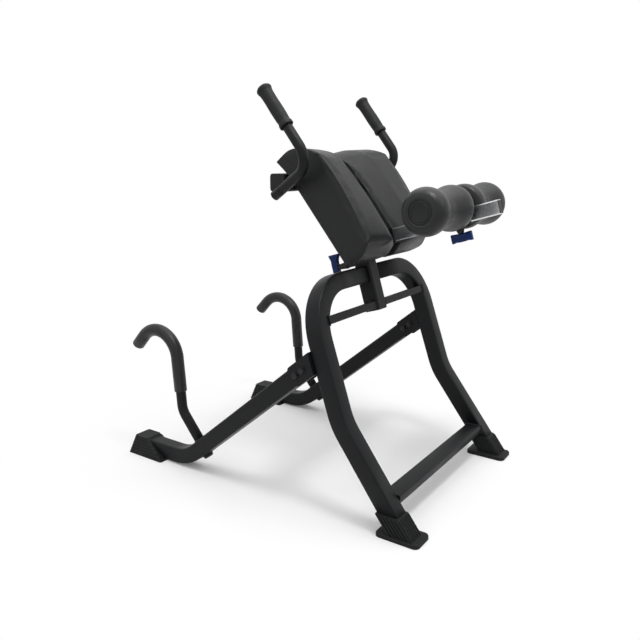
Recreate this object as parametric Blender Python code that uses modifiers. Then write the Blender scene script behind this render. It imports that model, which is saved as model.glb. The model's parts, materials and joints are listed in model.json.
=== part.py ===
"""Inversion core trainer: a bent tube frame with a sliding mast, split hip pads and thigh rollers.

The frame is Z up, in metres. The user's front is towards -Y, and the floor is at Z = 0.
"""
import math

import bmesh
import bpy
from mathutils import Matrix, Vector

COLLECTION_NAME = "inversion_core_trainer"
GAP = 0.0003

# Frame tube
TUBE = 0.050
TUBE_WALL = 0.002
TUBE_CORNER = 0.006

# Arch: centreline of the right leg, from the foot to the corner of the top bar
ARCH_FOOT = Vector((0.311, -0.4385, 0.030))
ARCH_KNEE = Vector((0.3065, -0.2597, 0.2687))
ARCH_TOP_CORNER = Vector((0.302, -0.1430, 0.6145))
KNEE_RADIUS = 0.200
TOP_CORNER_RADIUS = 0.085

# Crossbars between the arch's legs
THIN_BAR = 0.022
THIN_BAR_HEIGHT = 0.526
STEP_BAR_HEIGHT = 0.083

# Rear legs: centreline from the bracket on the arch to the rear boot
REAR_LEG_X = 0.311
REAR_LEG_SLOPE = math.radians(39.4)
REAR_LEG_BEND = Vector((REAR_LEG_X, 0.3072, 0.0275))
REAR_LEG_END = Vector((REAR_LEG_X, 0.5150, 0.0275))
REAR_LEG_RADIUS = 0.150
REAR_LEG_START = 0.018
BRACKET_PLATE = 0.003
BRACKET_LENGTH = 0.080
BRACKET_TALL = 0.058
LEG_BOLT_PLACES = (0.036, 0.064)
LEG_BOLT_RADIUS = 0.005

# Mast: a sleeve welded through the arch's top bar, and the post that slides in it
MAST_LEAN = math.radians(16.8)
MAST_FOOT = Vector((0.0, -0.1826, 0.5106))
SLEEVE_LENGTH = 0.160
POST = 0.042
POST_WALL = 0.0025
POST_BOTTOM = 0.003
KNOB_HEIGHT = 0.150
KNOB_BOSS_END = 0.060

# Thigh bar: the chrome bar that is square to the mast, and its receiver on the post
BAR_HEIGHT = 0.2010
BAR_TALL = 0.038
BAR_WIDE = 0.025
BAR_WALL = 0.002
BAR_REAR = -0.026
BAR_FRONT = 0.436
RECEIVER_WALL = 0.0035
RECEIVER_FRONT = 0.122

# Slider and rollers on the thigh bar
SLIDER_REAR = 0.283
SLIDER_FRONT = 0.353
AXLE_AHEAD = 0.321
AXLE_ABOVE_BAR = 0.0275
AXLE_RADIUS = 0.006
ROLLER_KNOB_AHEAD = 0.315
ROLLER_INNER = 0.0220
ROLLER_OUTER = 0.250
ROLLER_BULGE_RADIUS = 0.0605
ROLLER_WAIST_RADIUS = 0.0470
ROLLER_CORE_RADIUS = 0.0125
ROLLER_CAP_RADIUS = 0.031
ROLLER_CAP_DEPTH = 0.0075

# Clamp knobs
STUD_RADIUS = 0.006
BOSS_RADIUS = 0.009
COLLAR_RADIUS = 0.011
KNOB_BAR_THICK = 0.016

# Hip pads, in a frame of their own: along the pad, and out from its rear face
PAD_ANGLE = math.radians(51.0)
PAD_CORNER = Vector((0.0, -0.1710, 0.6884))
PAD_LENGTH = 0.332
PAD_THICK = 0.117
PAD_OUTER = 0.181
PAD_INNER = 0.0195
BOARD_THICK = 0.012
BOARD_INSET = 0.010
PLATE_THICK = 0.004
PLATE_TALL = 0.036
PLATE_HALF = 0.172
PLATE_PLACES = (0.105, 0.220)
PAD_BOLT_X = 0.145
SPINE = 0.040

# Handlebar behind the pads
HANDLEBAR_CENTRE = Vector((0.0, 0.0360, 0.8835))
HANDLEBAR_HALF = 0.189
HANDLEBAR_CORNER = 0.008
END_CAP_THICK = 0.003
HANDLE_RADIUS = 0.014
HANDLE_WALL = 0.002
HANDLE_END = Vector((0.2063, 0.0345, 0.8473))
HANDLE_ELBOW = Vector((0.2063, 0.0040, 0.8688))
HANDLE_VERTEX = Vector((0.2500, -0.0990, 0.9410))
HANDLE_TIP = Vector((0.2500, 0.0325, 1.1300))
HANDLE_BEND_RADIUS = 0.050
GRIP_LENGTH = 0.125
GRIP_RADIUS = 0.0205

# J handles through the rear legs
J_SEAT = Vector((REAR_LEG_X, 0.2483, 0.0759))
J_VERTEX_ALONG = 0.133
J_VERTEX_RADIUS = 0.060
J_TUBE_BELOW = 0.031
J_TUBE_RADIUS = 0.0155
J_TUBE_WALL = 0.002
J_HOOK_CENTRE = Vector((REAR_LEG_X, 0.4295, 0.3450))
J_HOOK_RADIUS = 0.085
J_HOOK_END = 15.5
J_FOAM_RADIUS = 0.0195
J_FOAM_FOOT = 0.241

# Boots
FRONT_PLATE_CENTRE = Vector((0.306, -0.4440, 0.0))
FRONT_PLATE_SIZE = (0.076, 0.125)
FRONT_PLATE_THICK = 0.011
FRONT_SOCKET = 0.0585
FRONT_SOCKET_TOP = 0.0195
REAR_BOOT_BASE = (0.0480, 0.3955, 0.5476)
REAR_BOOT_CROWN = (0.0300, 0.4750, 0.5320)
REAR_BOOT_HEIGHT = 0.0580
REAR_BOOT_RIBS = 6


def frame_at(origin, z_axis, x_axis):
    """A matrix with its origin, its Z axis and its X axis, which is square to Z."""
    matrix = Matrix.Identity(4)
    for column, axis in enumerate((x_axis, z_axis.cross(x_axis), z_axis)):
        for row in range(3):
            matrix[row][column] = axis[row]
    matrix.translation = origin
    return matrix


SIDE = Vector((1.0, 0.0, 0.0))
BACK = Vector((0.0, 1.0, 0.0))
UP = Vector((0.0, 0.0, 1.0))
MAST_UP = Vector((0.0, math.sin(MAST_LEAN), math.cos(MAST_LEAN)))
MAST_BACK = Vector((0.0, math.cos(MAST_LEAN), -math.sin(MAST_LEAN)))
BAR_AHEAD = -MAST_BACK
PAD_UP = Vector((0.0, math.cos(PAD_ANGLE), math.sin(PAD_ANGLE)))
PAD_OUT = Vector((0.0, -math.sin(PAD_ANGLE), math.cos(PAD_ANGLE)))
REAR_LEG_DOWN = Vector((0.0, math.cos(REAR_LEG_SLOPE), -math.sin(REAR_LEG_SLOPE)))
J_ENTRY = Vector((0.0, math.sin(REAR_LEG_SLOPE), math.cos(REAR_LEG_SLOPE)))
LOWER_LEG_UP = Vector((0.0, ARCH_KNEE.y - ARCH_FOOT.y, ARCH_KNEE.z - ARCH_FOOT.z)).normalized()
ARCH_UP = Vector((0.0, ARCH_TOP_CORNER.y - ARCH_KNEE.y, ARCH_TOP_CORNER.z - ARCH_KNEE.z)).normalized()
ARCH_BACK = Vector((0.0, ARCH_UP.z, -ARCH_UP.y))
SIDES = ((1, "right"), (-1, "left"))


def mast_point(across, back, up):
    """A point in the mast's frame: across it, behind its axis and up from the sleeve's foot."""
    return MAST_FOOT + SIDE * across + MAST_BACK * back + MAST_UP * up


def pad_point(across, along, out):
    """A point in the pads' frame: across, along from the bottom and out from the rear face."""
    return PAD_CORNER + SIDE * across + PAD_UP * along + PAD_OUT * out


def on_side(side, point):
    """The point on the right or, mirrored, on the left side."""
    return Vector((side * point.x, point.y, point.z))


def upper_leg_at(height):
    """Where the right upper leg's centreline passes a height."""
    share = (height - ARCH_KNEE.z) / (ARCH_TOP_CORNER.z - ARCH_KNEE.z)
    return ARCH_KNEE.lerp(ARCH_TOP_CORNER, share)


def lower_leg_at(height):
    """Where the right lower leg's centreline passes a height."""
    share = (height - ARCH_FOOT.z) / (ARCH_KNEE.z - ARCH_FOOT.z)
    return ARCH_FOOT.lerp(ARCH_KNEE, share)


def rear_leg_root(side):
    """Where the rear leg's centreline meets the rear face of the arch."""
    face = ARCH_KNEE + ARCH_BACK * (TUBE / 2)
    reach = (REAR_LEG_BEND - face).dot(ARCH_BACK) / REAR_LEG_DOWN.dot(ARCH_BACK)
    return on_side(side, REAR_LEG_BEND - REAR_LEG_DOWN * reach)


def clear_scene():
    """Removes what the file opens with."""
    for obj in list(bpy.data.objects):
        bpy.data.objects.remove(obj)
    for mesh in list(bpy.data.meshes):
        bpy.data.meshes.remove(mesh)


def new_collection(name):
    """A collection in the scene."""
    collection = bpy.data.collections.new(name)
    bpy.context.scene.collection.children.link(collection)
    return collection


def make_material(name, colour, roughness, metallic=0.0):
    """A Principled material with one colour."""
    material = bpy.data.materials.new(name)
    material.use_nodes = True
    shader = material.node_tree.nodes["Principled BSDF"]
    shader.inputs["Base Color"].default_value = (*colour, 1.0)
    shader.inputs["Roughness"].default_value = roughness
    shader.inputs["Metallic"].default_value = metallic
    return material


clear_scene()
PARTS = new_collection(COLLECTION_NAME)
CUTTERS = new_collection("cutters")
POWDER_COAT = make_material("black_powder_coat", (0.018, 0.018, 0.020), 0.42)
VINYL = make_material("black_vinyl", (0.016, 0.016, 0.017), 0.38)
FOAM = make_material("black_foam", (0.014, 0.014, 0.015), 0.75)
RUBBER = make_material("black_moulded_rubber", (0.012, 0.012, 0.013), 0.60)
PLASTIC = make_material("black_plastic", (0.014, 0.014, 0.016), 0.45)
BLUE_PLASTIC = make_material("blue_plastic", (0.004, 0.060, 0.230), 0.35)
CHROME = make_material("chrome", (0.82, 0.82, 0.84), 0.08, 1.0)
ZINC = make_material("zinc_plated_steel", (0.55, 0.55, 0.56), 0.35, 1.0)
PLYWOOD = make_material("plywood", (0.42, 0.29, 0.17), 0.80)


def link(obj, collection, material=None):
    """Puts an object in a collection and gives it its material."""
    collection.objects.link(obj)
    if material is not None:
        obj.data.materials.clear()
        obj.data.materials.append(material)
    return obj


def object_from_bmesh(name, shape, collection, material=None, matrix=None):
    """A mesh object from a bmesh, with its faces turned outwards."""
    mesh = bpy.data.meshes.new(name)
    if matrix is not None:
        shape.transform(matrix)
    shape.normal_update()
    bmesh.ops.recalc_face_normals(shape, faces=shape.faces)
    shape.to_mesh(mesh)
    shape.free()
    return link(bpy.data.objects.new(name, mesh), collection, material)


def mesh_from_curve(curve_object, collection, material=None):
    """Turns a curve object into a welded mesh object of the same name, and removes the curve."""
    bpy.context.view_layer.update()
    graph = bpy.context.evaluated_depsgraph_get()
    mesh = bpy.data.meshes.new_from_object(curve_object.evaluated_get(graph))
    matrix = curve_object.matrix_world.copy()
    name = curve_object.name
    curve = curve_object.data
    bpy.data.objects.remove(curve_object)
    bpy.data.curves.remove(curve)
    shape = bmesh.new()
    shape.from_mesh(mesh)
    bmesh.ops.remove_doubles(shape, verts=shape.verts, dist=0.00001)
    bpy.data.meshes.remove(mesh)
    return object_from_bmesh(name, shape, collection, material, matrix)


def rounded_rectangle(width, height, radius, steps=2):
    """Corner points of a rounded rectangle, anticlockwise."""
    points = []
    places = ((1, 1, 0.0), (-1, 1, 90.0), (-1, -1, 180.0), (1, -1, 270.0))
    for side_x, side_y, start in places:
        for step in range(steps + 1):
            angle = math.radians(start + 90.0 * step / steps)
            x = side_x * (width / 2 - radius) + radius * math.cos(angle)
            y = side_y * (height / 2 - radius) + radius * math.sin(angle)
            points.append((x, y))
    return points


def flat_curve(name, outlines):
    """A 2D curve of closed polygon splines."""
    curve = bpy.data.curves.new(name, "CURVE")
    curve.dimensions = "2D"
    curve.fill_mode = "BOTH"
    for outline in outlines:
        spline = curve.splines.new("POLY")
        spline.points.add(len(outline) - 1)
        for point, place in zip(spline.points, outline):
            point.co = (place[0], place[1], 0.0, 1.0)
        spline.use_cyclic_u = True
    return curve


def prism(name, outlines, length, matrix, material=None, collection=None):
    """A flat outline, with its holes, extruded from the matrix's origin along its Z axis."""
    curve = flat_curve(name, outlines)
    curve.extrude = length / 2
    obj = bpy.data.objects.new(name, curve)
    obj.matrix_world = matrix @ Matrix.Translation((0.0, 0.0, length / 2))
    home = collection or PARTS
    home.objects.link(obj)
    return mesh_from_curve(obj, home, material)


def hide_cutter(obj):
    """Marks a cutter, which is never rendered."""
    obj.hide_render = True
    obj.display_type = "WIRE"
    return obj


def prism_cutter(name, outlines, length, matrix):
    """A cutter, or a shape to be joined, with a flat outline."""
    return hide_cutter(prism(name, outlines, length, matrix, None, CUTTERS))


def rectangular_tube(name, size, wall, corner, length, matrix, material):
    """A straight, open-ended rectangular tube."""
    width, height = size
    inner_corner = max(corner - wall, 0.001)
    outlines = [
        rounded_rectangle(width, height, corner),
        rounded_rectangle(width - 2 * wall, height - 2 * wall, inner_corner),
    ]
    return prism(name, outlines, length, matrix, material)


def box_cutter(name, width, height, length, matrix):
    """A box cutter that starts at the matrix's origin and runs along its Z axis."""
    shape = bmesh.new()
    bmesh.ops.create_cube(shape, size=1.0)
    size = Matrix.Diagonal((width, height, length, 1.0))
    place = Matrix.Translation((0.0, 0.0, length / 2))
    return hide_cutter(object_from_bmesh(name, shape, CUTTERS, None, matrix @ place @ size))


def cylinder(name, radius, start, end, sides, material=None, collection=None):
    """A solid cylinder between two points."""
    axis = end - start
    shape = bmesh.new()
    bmesh.ops.create_cone(
        shape, cap_ends=True, segments=sides, radius1=radius, radius2=radius, depth=axis.length
    )
    turn = axis.to_track_quat("Z", "Y").to_matrix().to_4x4()
    matrix = Matrix.Translation((start + end) / 2) @ turn
    obj = object_from_bmesh(name, shape, collection or PARTS, material, matrix)
    return smooth(obj, 40.0)


def round_cutter(name, radius, start, end, sides=16):
    """A round cutter, or a boss to be joined, between two points."""
    return hide_cutter(cylinder(name, radius, start, end, sides, None, CUTTERS))


def boolean(obj, other, operation):
    """A Boolean modifier with the exact solver."""
    modifier = obj.modifiers.new(operation.lower() + "_" + other.name, "BOOLEAN")
    modifier.operation = operation
    modifier.object = other
    modifier.solver = "EXACT"
    return obj


def filleted(points, radii, steps):
    """A path with its corners rounded: each corner has a radius and a number of steps."""
    path = []
    for index, point in enumerate(points):
        radius = radii[index]
        if radius == 0.0:
            path.append(point.copy())
            continue
        before = (points[index - 1] - point).normalized()
        after = (points[index + 1] - point).normalized()
        half = before.angle(after) / 2
        centre = point + (before + after).normalized() * (radius / math.sin(half))
        start = point + before * (radius / math.tan(half))
        end = point + after * (radius / math.tan(half))
        first = start - centre
        sweep = first.angle(end - centre)
        axis = first.cross(end - centre).normalized()
        for step in range(steps[index] + 1):
            turn = Matrix.Rotation(sweep * step / steps[index], 3, axis)
            path.append(centre + turn @ first)
    return path


def path_curve(name, path, tilt=0.0):
    """A 3D polygon curve through a path, with its section turned by a tilt."""
    curve = bpy.data.curves.new(name, "CURVE")
    curve.dimensions = "3D"
    curve.twist_mode = "MINIMUM"
    spline = curve.splines.new("POLY")
    spline.points.add(len(path) - 1)
    for point, place in zip(spline.points, path):
        point.co = (*place, 1.0)
        point.tilt = tilt
    return curve


def solidify_inwards(obj, wall):
    """Gives an open tube its wall, on the inner side."""
    modifier = obj.modifiers.new("wall", "SOLIDIFY")
    modifier.thickness = wall
    modifier.offset = -1.0
    modifier.use_even_offset = True
    return obj


def smooth(obj, angle=35.0):
    """Shades a mesh smooth, with sharp edges past an angle."""
    obj.data.shade_smooth()
    obj.data.set_sharp_from_angle(angle=math.radians(angle))
    return obj


def round_tube(name, path, radius, wall, material):
    """A bent round tube with open ends."""
    curve = path_curve(name, path)
    curve.bevel_depth = radius
    curve.bevel_resolution = 4
    obj = bpy.data.objects.new(name, curve)
    PARTS.objects.link(obj)
    tube = mesh_from_curve(obj, PARTS, material)
    return smooth(solidify_inwards(tube, wall))


def round_rod(name, path, radius, material=None, collection=None):
    """A bent round rod with closed ends."""
    curve = path_curve(name, path)
    curve.bevel_depth = radius
    curve.bevel_resolution = 4
    curve.use_fill_caps = True
    obj = bpy.data.objects.new(name, curve)
    home = collection or PARTS
    home.objects.link(obj)
    return smooth(mesh_from_curve(obj, home, material))


def square_tube_path(name, path, material, tilt=0.0):
    """A bent square tube with open ends: a curve with a rounded square as its bevel."""
    outline = flat_curve(name + "_section", [rounded_rectangle(TUBE, TUBE, TUBE_CORNER)])
    section = bpy.data.objects.new(name + "_section", outline)
    CUTTERS.objects.link(section)
    curve = path_curve(name, path, tilt)
    curve.bevel_mode = "OBJECT"
    curve.bevel_object = section
    obj = bpy.data.objects.new(name, curve)
    PARTS.objects.link(obj)
    tube = mesh_from_curve(obj, PARTS, material)
    bpy.data.objects.remove(section)
    bpy.data.curves.remove(outline)
    return smooth(solidify_inwards(tube, TUBE_WALL))


def turned(name, profile, matrix, steps, material, closed=False):
    """A profile of radius and height turned about the matrix's Z axis, outer side top to bottom."""
    shape = bmesh.new()
    verts = [shape.verts.new((radius, 0.0, height)) for radius, height in profile]
    for first, second in zip(verts, verts[1:]):
        shape.edges.new((first, second))
    if closed:
        shape.edges.new((verts[-1], verts[0]))
    mesh = bpy.data.meshes.new(name)
    shape.to_mesh(mesh)
    shape.free()
    obj = link(bpy.data.objects.new(name, mesh), PARTS, material)
    obj.matrix_world = matrix
    screw = obj.modifiers.new("turn", "SCREW")
    screw.steps = steps
    screw.render_steps = steps
    screw.use_merge_vertices = True
    screw.merge_threshold = 0.00001
    screw.use_smooth_shade = True
    return obj


def loft(name, rings, material):
    """A closed solid through rings of equal counts of points, capped at both ends."""
    shape = bmesh.new()
    loops = []
    for ring in rings:
        loops.append([shape.verts.new(point) for point in ring])
    for lower, upper in zip(loops, loops[1:]):
        for index in range(len(lower)):
            after = (index + 1) % len(lower)
            shape.faces.new((lower[index], lower[after], upper[after], upper[index]))
    shape.faces.new(loops[0])
    shape.faces.new(loops[-1])
    return object_from_bmesh(name, shape, PARTS, material)


def axis_frame(origin, along):
    """A frame whose Z axis runs along a direction, with its X axis across the part."""
    z_axis = along.normalized()
    x_axis = BACK if abs(z_axis.x) > 0.9 else SIDE
    x_axis = (x_axis - z_axis * z_axis.dot(x_axis)).normalized()
    return frame_at(origin, z_axis, x_axis)


def build_arch():
    """One square tube bent into the arch, notched at the front of its top bar for the sleeve."""
    half = [ARCH_FOOT, ARCH_KNEE, ARCH_TOP_CORNER]
    points = half + [on_side(-1, point) for point in reversed(half)]
    half_radii = [0.0, KNEE_RADIUS, TOP_CORNER_RADIUS]
    half_steps = [0, 3, 6]
    path = filleted(points, half_radii + half_radii[::-1], half_steps + half_steps[::-1])
    first = (path[1] - path[0]).normalized()
    tilt = math.atan2(first.x * first.z, first.y)
    arch = square_tube_path("arch_tube", path, POWDER_COAT, tilt)
    size = TUBE + 2 * GAP
    notch = box_cutter("mast_notch", size, size, SLEEVE_LENGTH, frame_at(mast_point(0.0, 0.0, 0.02),
                                                                        MAST_UP, SIDE))
    return boolean(arch, notch, "DIFFERENCE")


def build_crossbars():
    """The thin bar each side of the mast sleeve, and the step bar at the feet."""
    leg = upper_leg_at(THIN_BAR_HEIGHT)
    middle = leg - ARCH_BACK * (TUBE - THIN_BAR) / 2
    start = TUBE / 2 + GAP
    end = leg.x - TUBE / 2 - GAP - 0.0004
    for side, word in SIDES:
        origin = Vector((side * start, middle.y, middle.z))
        frame = frame_at(origin, SIDE * side, ARCH_UP)
        rectangular_tube("upper_crossbar_" + word, (THIN_BAR, THIN_BAR), 0.0015, 0.003, end - start, frame,
                         POWDER_COAT)
    leg = lower_leg_at(STEP_BAR_HEIGHT)
    half = leg.x - TUBE / 2 - 0.0012
    frame = frame_at(Vector((-half, leg.y, leg.z)), SIDE, LOWER_LEG_UP)
    rectangular_tube("step_bar", (TUBE, TUBE), TUBE_WALL, TUBE_CORNER, 2 * half, frame, POWDER_COAT)


def build_mast_sleeve():
    """The sleeve with its knob boss, and the flanged plastic liner that the post slides in."""
    frame = frame_at(mast_point(0.0, 0.0, 0.0), MAST_UP, SIDE)
    sleeve = rectangular_tube("mast_sleeve", (TUBE, TUBE), TUBE_WALL, TUBE_CORNER, SLEEVE_LENGTH, frame,
                              POWDER_COAT)
    boss = round_cutter("mast_boss", BOSS_RADIUS, mast_point(0.0, TUBE / 2 - 0.001, KNOB_HEIGHT),
                        mast_point(0.0, KNOB_BOSS_END, KNOB_HEIGHT), 16)
    bore = round_cutter("mast_bore", STUD_RADIUS + GAP, mast_point(0.0, POST / 2 - 0.004, KNOB_HEIGHT),
                        mast_point(0.0, KNOB_BOSS_END + 0.01, KNOB_HEIGHT))
    boolean(sleeve, boss, "UNION")
    boolean(sleeve, bore, "DIFFERENCE")
    outer = TUBE - 2 * TUBE_WALL - 2 * GAP
    inner = POST + 2 * GAP
    inner_outline = rounded_rectangle(inner, inner, 0.004)
    liner = prism("sleeve_liner", [rounded_rectangle(outer, outer, 0.0045), inner_outline],
                  SLEEVE_LENGTH - 0.003, frame_at(mast_point(0.0, 0.0, 0.004), MAST_UP, SIDE), PLASTIC)
    flange = prism_cutter("liner_flange", [rounded_rectangle(TUBE, TUBE, 0.006), inner_outline], 0.0025,
                          frame_at(mast_point(0.0, 0.0, SLEEVE_LENGTH + GAP), MAST_UP, SIDE))
    boolean(liner, flange, "UNION")
    boolean(liner, bore, "DIFFERENCE")


def build_bolt(name, start, end):
    """A through bolt with its washers and nut, from the outer cheek to the inner cheek."""
    length = (end - start).length
    radius = LEG_BOLT_RADIUS
    profile = [
        (0.0, length + 0.0105), (radius, length + 0.0105), (radius, length + 0.0085),
        (0.0085, length + 0.0085), (0.0085, length + 0.0015), (0.0110, length + 0.0015),
        (0.0110, length + GAP), (radius, length + GAP), (radius, -GAP), (0.0110, -GAP), (0.0110, -0.0012),
        (0.0088, -0.0012), (0.0088, -0.0040), (0.0062, -0.0060), (0.0, -0.0060),
    ]
    return turned(name, profile, axis_frame(start, end - start), 10, ZINC)


def build_rear_legs():
    """The rear legs, the channels that hold them on the arch, and the bolts through both."""
    cheek = TUBE / 2 + GAP + BRACKET_PLATE
    for side, word in SIDES:
        root = rear_leg_root(side)
        points = [root + REAR_LEG_DOWN * REAR_LEG_START, on_side(side, REAR_LEG_BEND),
                  on_side(side, REAR_LEG_END)]
        path = filleted(points, [0.0, REAR_LEG_RADIUS, 0.0], [0, 6, 0])
        leg = square_tube_path("rear_leg_" + word, path, POWDER_COAT)
        middle = root + REAR_LEG_DOWN * (BRACKET_LENGTH / 2 - 0.020) - SIDE * cheek
        outline = rounded_rectangle(BRACKET_LENGTH + 0.040, BRACKET_TALL, 0.010, 3)
        bracket = prism("leg_bracket_" + word, [outline], 2 * cheek, frame_at(middle, SIDE, REAR_LEG_DOWN),
                        POWDER_COAT)
        face = frame_at(root + ARCH_BACK * GAP, -ARCH_BACK, SIDE)
        ahead = box_cutter("bracket_face_" + word, 0.2, 0.3, 0.1, face)
        web = frame_at(root + ARCH_BACK * (GAP + BRACKET_PLATE), ARCH_BACK, SIDE)
        hollow = box_cutter("bracket_hollow_" + word, TUBE + 2 * GAP, 0.2, 0.15, web)
        boolean(bracket, ahead, "DIFFERENCE")
        boolean(bracket, hollow, "DIFFERENCE")
        for number, place in enumerate(LEG_BOLT_PLACES, 1):
            centre = root + REAR_LEG_DOWN * place
            outer = centre + SIDE * side * cheek
            inner = centre - SIDE * side * cheek
            reach = SIDE * side * 0.01
            hole = round_cutter("leg_bolt_hole_{}_{}".format(number, word), LEG_BOLT_RADIUS + GAP,
                                outer + reach, inner - reach, 12)
            boolean(leg, hole, "DIFFERENCE")
            boolean(bracket, hole, "DIFFERENCE")
            build_bolt("leg_bolt_{}_{}".format(number, word), outer, inner)
        seat = on_side(side, J_SEAT)
        hole = round_cutter("j_hole_" + word, J_TUBE_RADIUS + 2 * GAP, seat - J_ENTRY * 0.05,
                            seat + J_ENTRY * 0.05, 16)
        boolean(leg, hole, "DIFFERENCE")


def j_path(side):
    """The J handle's centreline, from under the leg to the end of its hook."""
    seat = on_side(side, J_SEAT)
    centre = on_side(side, J_HOOK_CENTRE)
    hook = []
    count = 10
    for step in range(count + 1):
        angle = math.radians(180.0 + (J_HOOK_END - 180.0) * step / count)
        hook.append(centre + (BACK * math.cos(angle) + UP * math.sin(angle)) * J_HOOK_RADIUS)
    corners = [seat - J_ENTRY * J_TUBE_BELOW, seat + J_ENTRY * J_VERTEX_ALONG, hook[0]]
    return filleted(corners, [0.0, J_VERTEX_RADIUS, 0.0], [0, 3, 0]) + hook[1:]


def build_j_handles():
    """The J handles: a bent tube through the leg, its foam, and the cap under the leg."""
    for side, word in SIDES:
        path = j_path(side)
        round_tube("j_handle_tube_" + word, path, J_TUBE_RADIUS, J_TUBE_WALL, POWDER_COAT)
        hook = path[5:]
        rise = (hook[0] - path[4]).normalized()
        foot = path[4] + rise * ((J_FOAM_FOOT - path[4].z) / rise.z)
        fall = (hook[-1] - hook[-2]).normalized()
        foam = round_rod("j_handle_foam_" + word, [foot] + hook + [hook[-1] + fall * 0.006], J_FOAM_RADIUS,
                         FOAM)
        core_path = [foot - rise * 0.01] + hook + [hook[-1] + fall * GAP]
        core = round_rod("j_handle_core_" + word, core_path, J_TUBE_RADIUS + GAP, None, CUTTERS)
        boolean(foam, hide_cutter(core), "DIFFERENCE")
        inside = J_TUBE_RADIUS - J_TUBE_WALL - 2 * GAP
        profile = [(0.0, 0.0050), (0.0120, 0.0045), (0.0145, 0.0030), (J_TUBE_RADIUS, GAP), (inside, GAP),
                   (inside, -0.0120), (0.0, -0.0120)]
        turned("j_handle_cap_" + word, profile, axis_frame(path[0], -J_ENTRY), 10, PLASTIC)


def ribbed_square(size, ribs, groove):
    """A square outline with shallow grooves between the ribs on each side."""
    points = []
    half = size / 2
    pitch = (size - 0.010) / ribs
    for across_x, across_y in ((1, 0), (0, 1), (-1, 0), (0, -1)):
        normal = Vector((across_x, across_y))
        along = Vector((-across_y, across_x))
        points.append(normal * half - along * (half - 0.003))
        for rib in range(1, ribs):
            place = (rib - ribs / 2) * pitch
            points.append(normal * half + along * (place - groove))
            points.append(normal * (half - groove) + along * (place - groove * 0.5))
            points.append(normal * (half - groove) + along * (place + groove * 0.5))
            points.append(normal * half + along * (place + groove))
        points.append(normal * half + along * (half - 0.003))
    return [(point.x, point.y) for point in points]


def build_front_boots():
    """Moulded boots: a ribbed socket that leans with the leg, on a flat oblong foot plate."""
    for side, word in SIDES:
        foot = on_side(side, ARCH_FOOT)
        centre = on_side(side, FRONT_PLATE_CENTRE)
        boot = prism("front_boot_" + word, [rounded_rectangle(*FRONT_PLATE_SIZE, 0.015, 4)], FRONT_PLATE_THICK,
                     Matrix.Translation(centre), RUBBER)
        start = foot - LOWER_LEG_UP * 0.060
        socket = prism_cutter("front_socket_" + word, [ribbed_square(FRONT_SOCKET, 6, 0.0016)],
                              0.060 + FRONT_SOCKET_TOP, frame_at(start, LOWER_LEG_UP, SIDE))
        below = box_cutter("front_boot_floor_" + word, 0.3, 0.3, 0.1,
                           Matrix.Translation(centre - UP * 0.096))
        boolean(socket, below, "DIFFERENCE")
        size = TUBE + 6 * GAP
        well = prism_cutter("front_well_" + word, [rounded_rectangle(size, size, 0.0055)], 0.1,
                            frame_at(foot - LOWER_LEG_UP * 3 * GAP, LOWER_LEG_UP, SIDE))
        boolean(boot, socket, "UNION")
        boolean(boot, well, "DIFFERENCE")


def build_rear_boots():
    """Moulded boots of stacked ribs that taper up, closed over the end of the rear leg."""
    for side, word in SIDES:
        rings = []
        for rib in range(REAR_BOOT_RIBS):
            for part, inset in ((0.0, 0.0), (0.60, 0.0), (0.70, 0.0016)):
                rings.append(rear_boot_ring(side, (rib + part) / REAR_BOOT_RIBS, inset))
        rings.append(rear_boot_ring(side, 1.0, 0.0))
        boot = loft("rear_boot_" + word, rings, RUBBER)
        size = TUBE + 2 * GAP
        start = Vector((side * REAR_LEG_X, 0.38, REAR_LEG_END.z))
        well = prism_cutter("rear_well_" + word, [rounded_rectangle(size, size, 0.0055)],
                            REAR_LEG_END.y + GAP - start.y, frame_at(start, BACK, SIDE))
        boolean(boot, well, "DIFFERENCE")


def rear_boot_ring(side, share, inset):
    """The rear boot's outline at a share of its height."""
    half, front, rear = (a + (b - a) * share for a, b in zip(REAR_BOOT_BASE, REAR_BOOT_CROWN))
    middle = Vector((side * REAR_LEG_X, (front + rear) / 2, REAR_BOOT_HEIGHT * share))
    outline = rounded_rectangle(2 * (half - inset), rear - front - 2 * inset, 0.004, 1)
    return [middle + Vector((x, y, 0.0)) for x, y in outline]


def bar_outlines(wall):
    """The outlines of a sleeve round the thigh bar."""
    wide = BAR_WIDE + 2 * GAP
    tall = BAR_TALL + 2 * GAP
    return [rounded_rectangle(wide + 2 * wall, tall + 2 * wall, 0.004), rounded_rectangle(wide, tall, 0.003)]


def bar_frame(ahead):
    """A frame on the thigh bar's axis, with its Z axis along the bar, forwards."""
    return frame_at(mast_point(0.0, -ahead, BAR_HEIGHT), BAR_AHEAD, SIDE)


def build_post_and_bar():
    """The post, the receiver on its top, the chrome thigh bar in the receiver, and the bar's plug."""
    sleeve_half = BAR_TALL / 2 + GAP + RECEIVER_WALL
    top = BAR_HEIGHT - sleeve_half - GAP
    rectangular_tube("mast_post", (POST, POST), POST_WALL, 0.005, top - POST_BOTTOM,
                     frame_at(mast_point(0.0, 0.0, POST_BOTTOM), MAST_UP, SIDE), POWDER_COAT)
    prism("bar_receiver", bar_outlines(RECEIVER_WALL), RECEIVER_FRONT - BAR_REAR + 0.004,
          bar_frame(BAR_REAR - 0.004), POWDER_COAT)
    rectangular_tube("thigh_bar", (BAR_WIDE, BAR_TALL), BAR_WALL, 0.003, BAR_FRONT - BAR_REAR,
                     bar_frame(BAR_REAR), CHROME)
    inside = (BAR_WIDE - 2 * BAR_WALL - 2 * GAP, BAR_TALL - 2 * BAR_WALL - 2 * GAP)
    prism("thigh_bar_plug", [rounded_rectangle(*inside, 0.001)], 0.016, bar_frame(BAR_FRONT - 0.015),
          PLASTIC)


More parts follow.
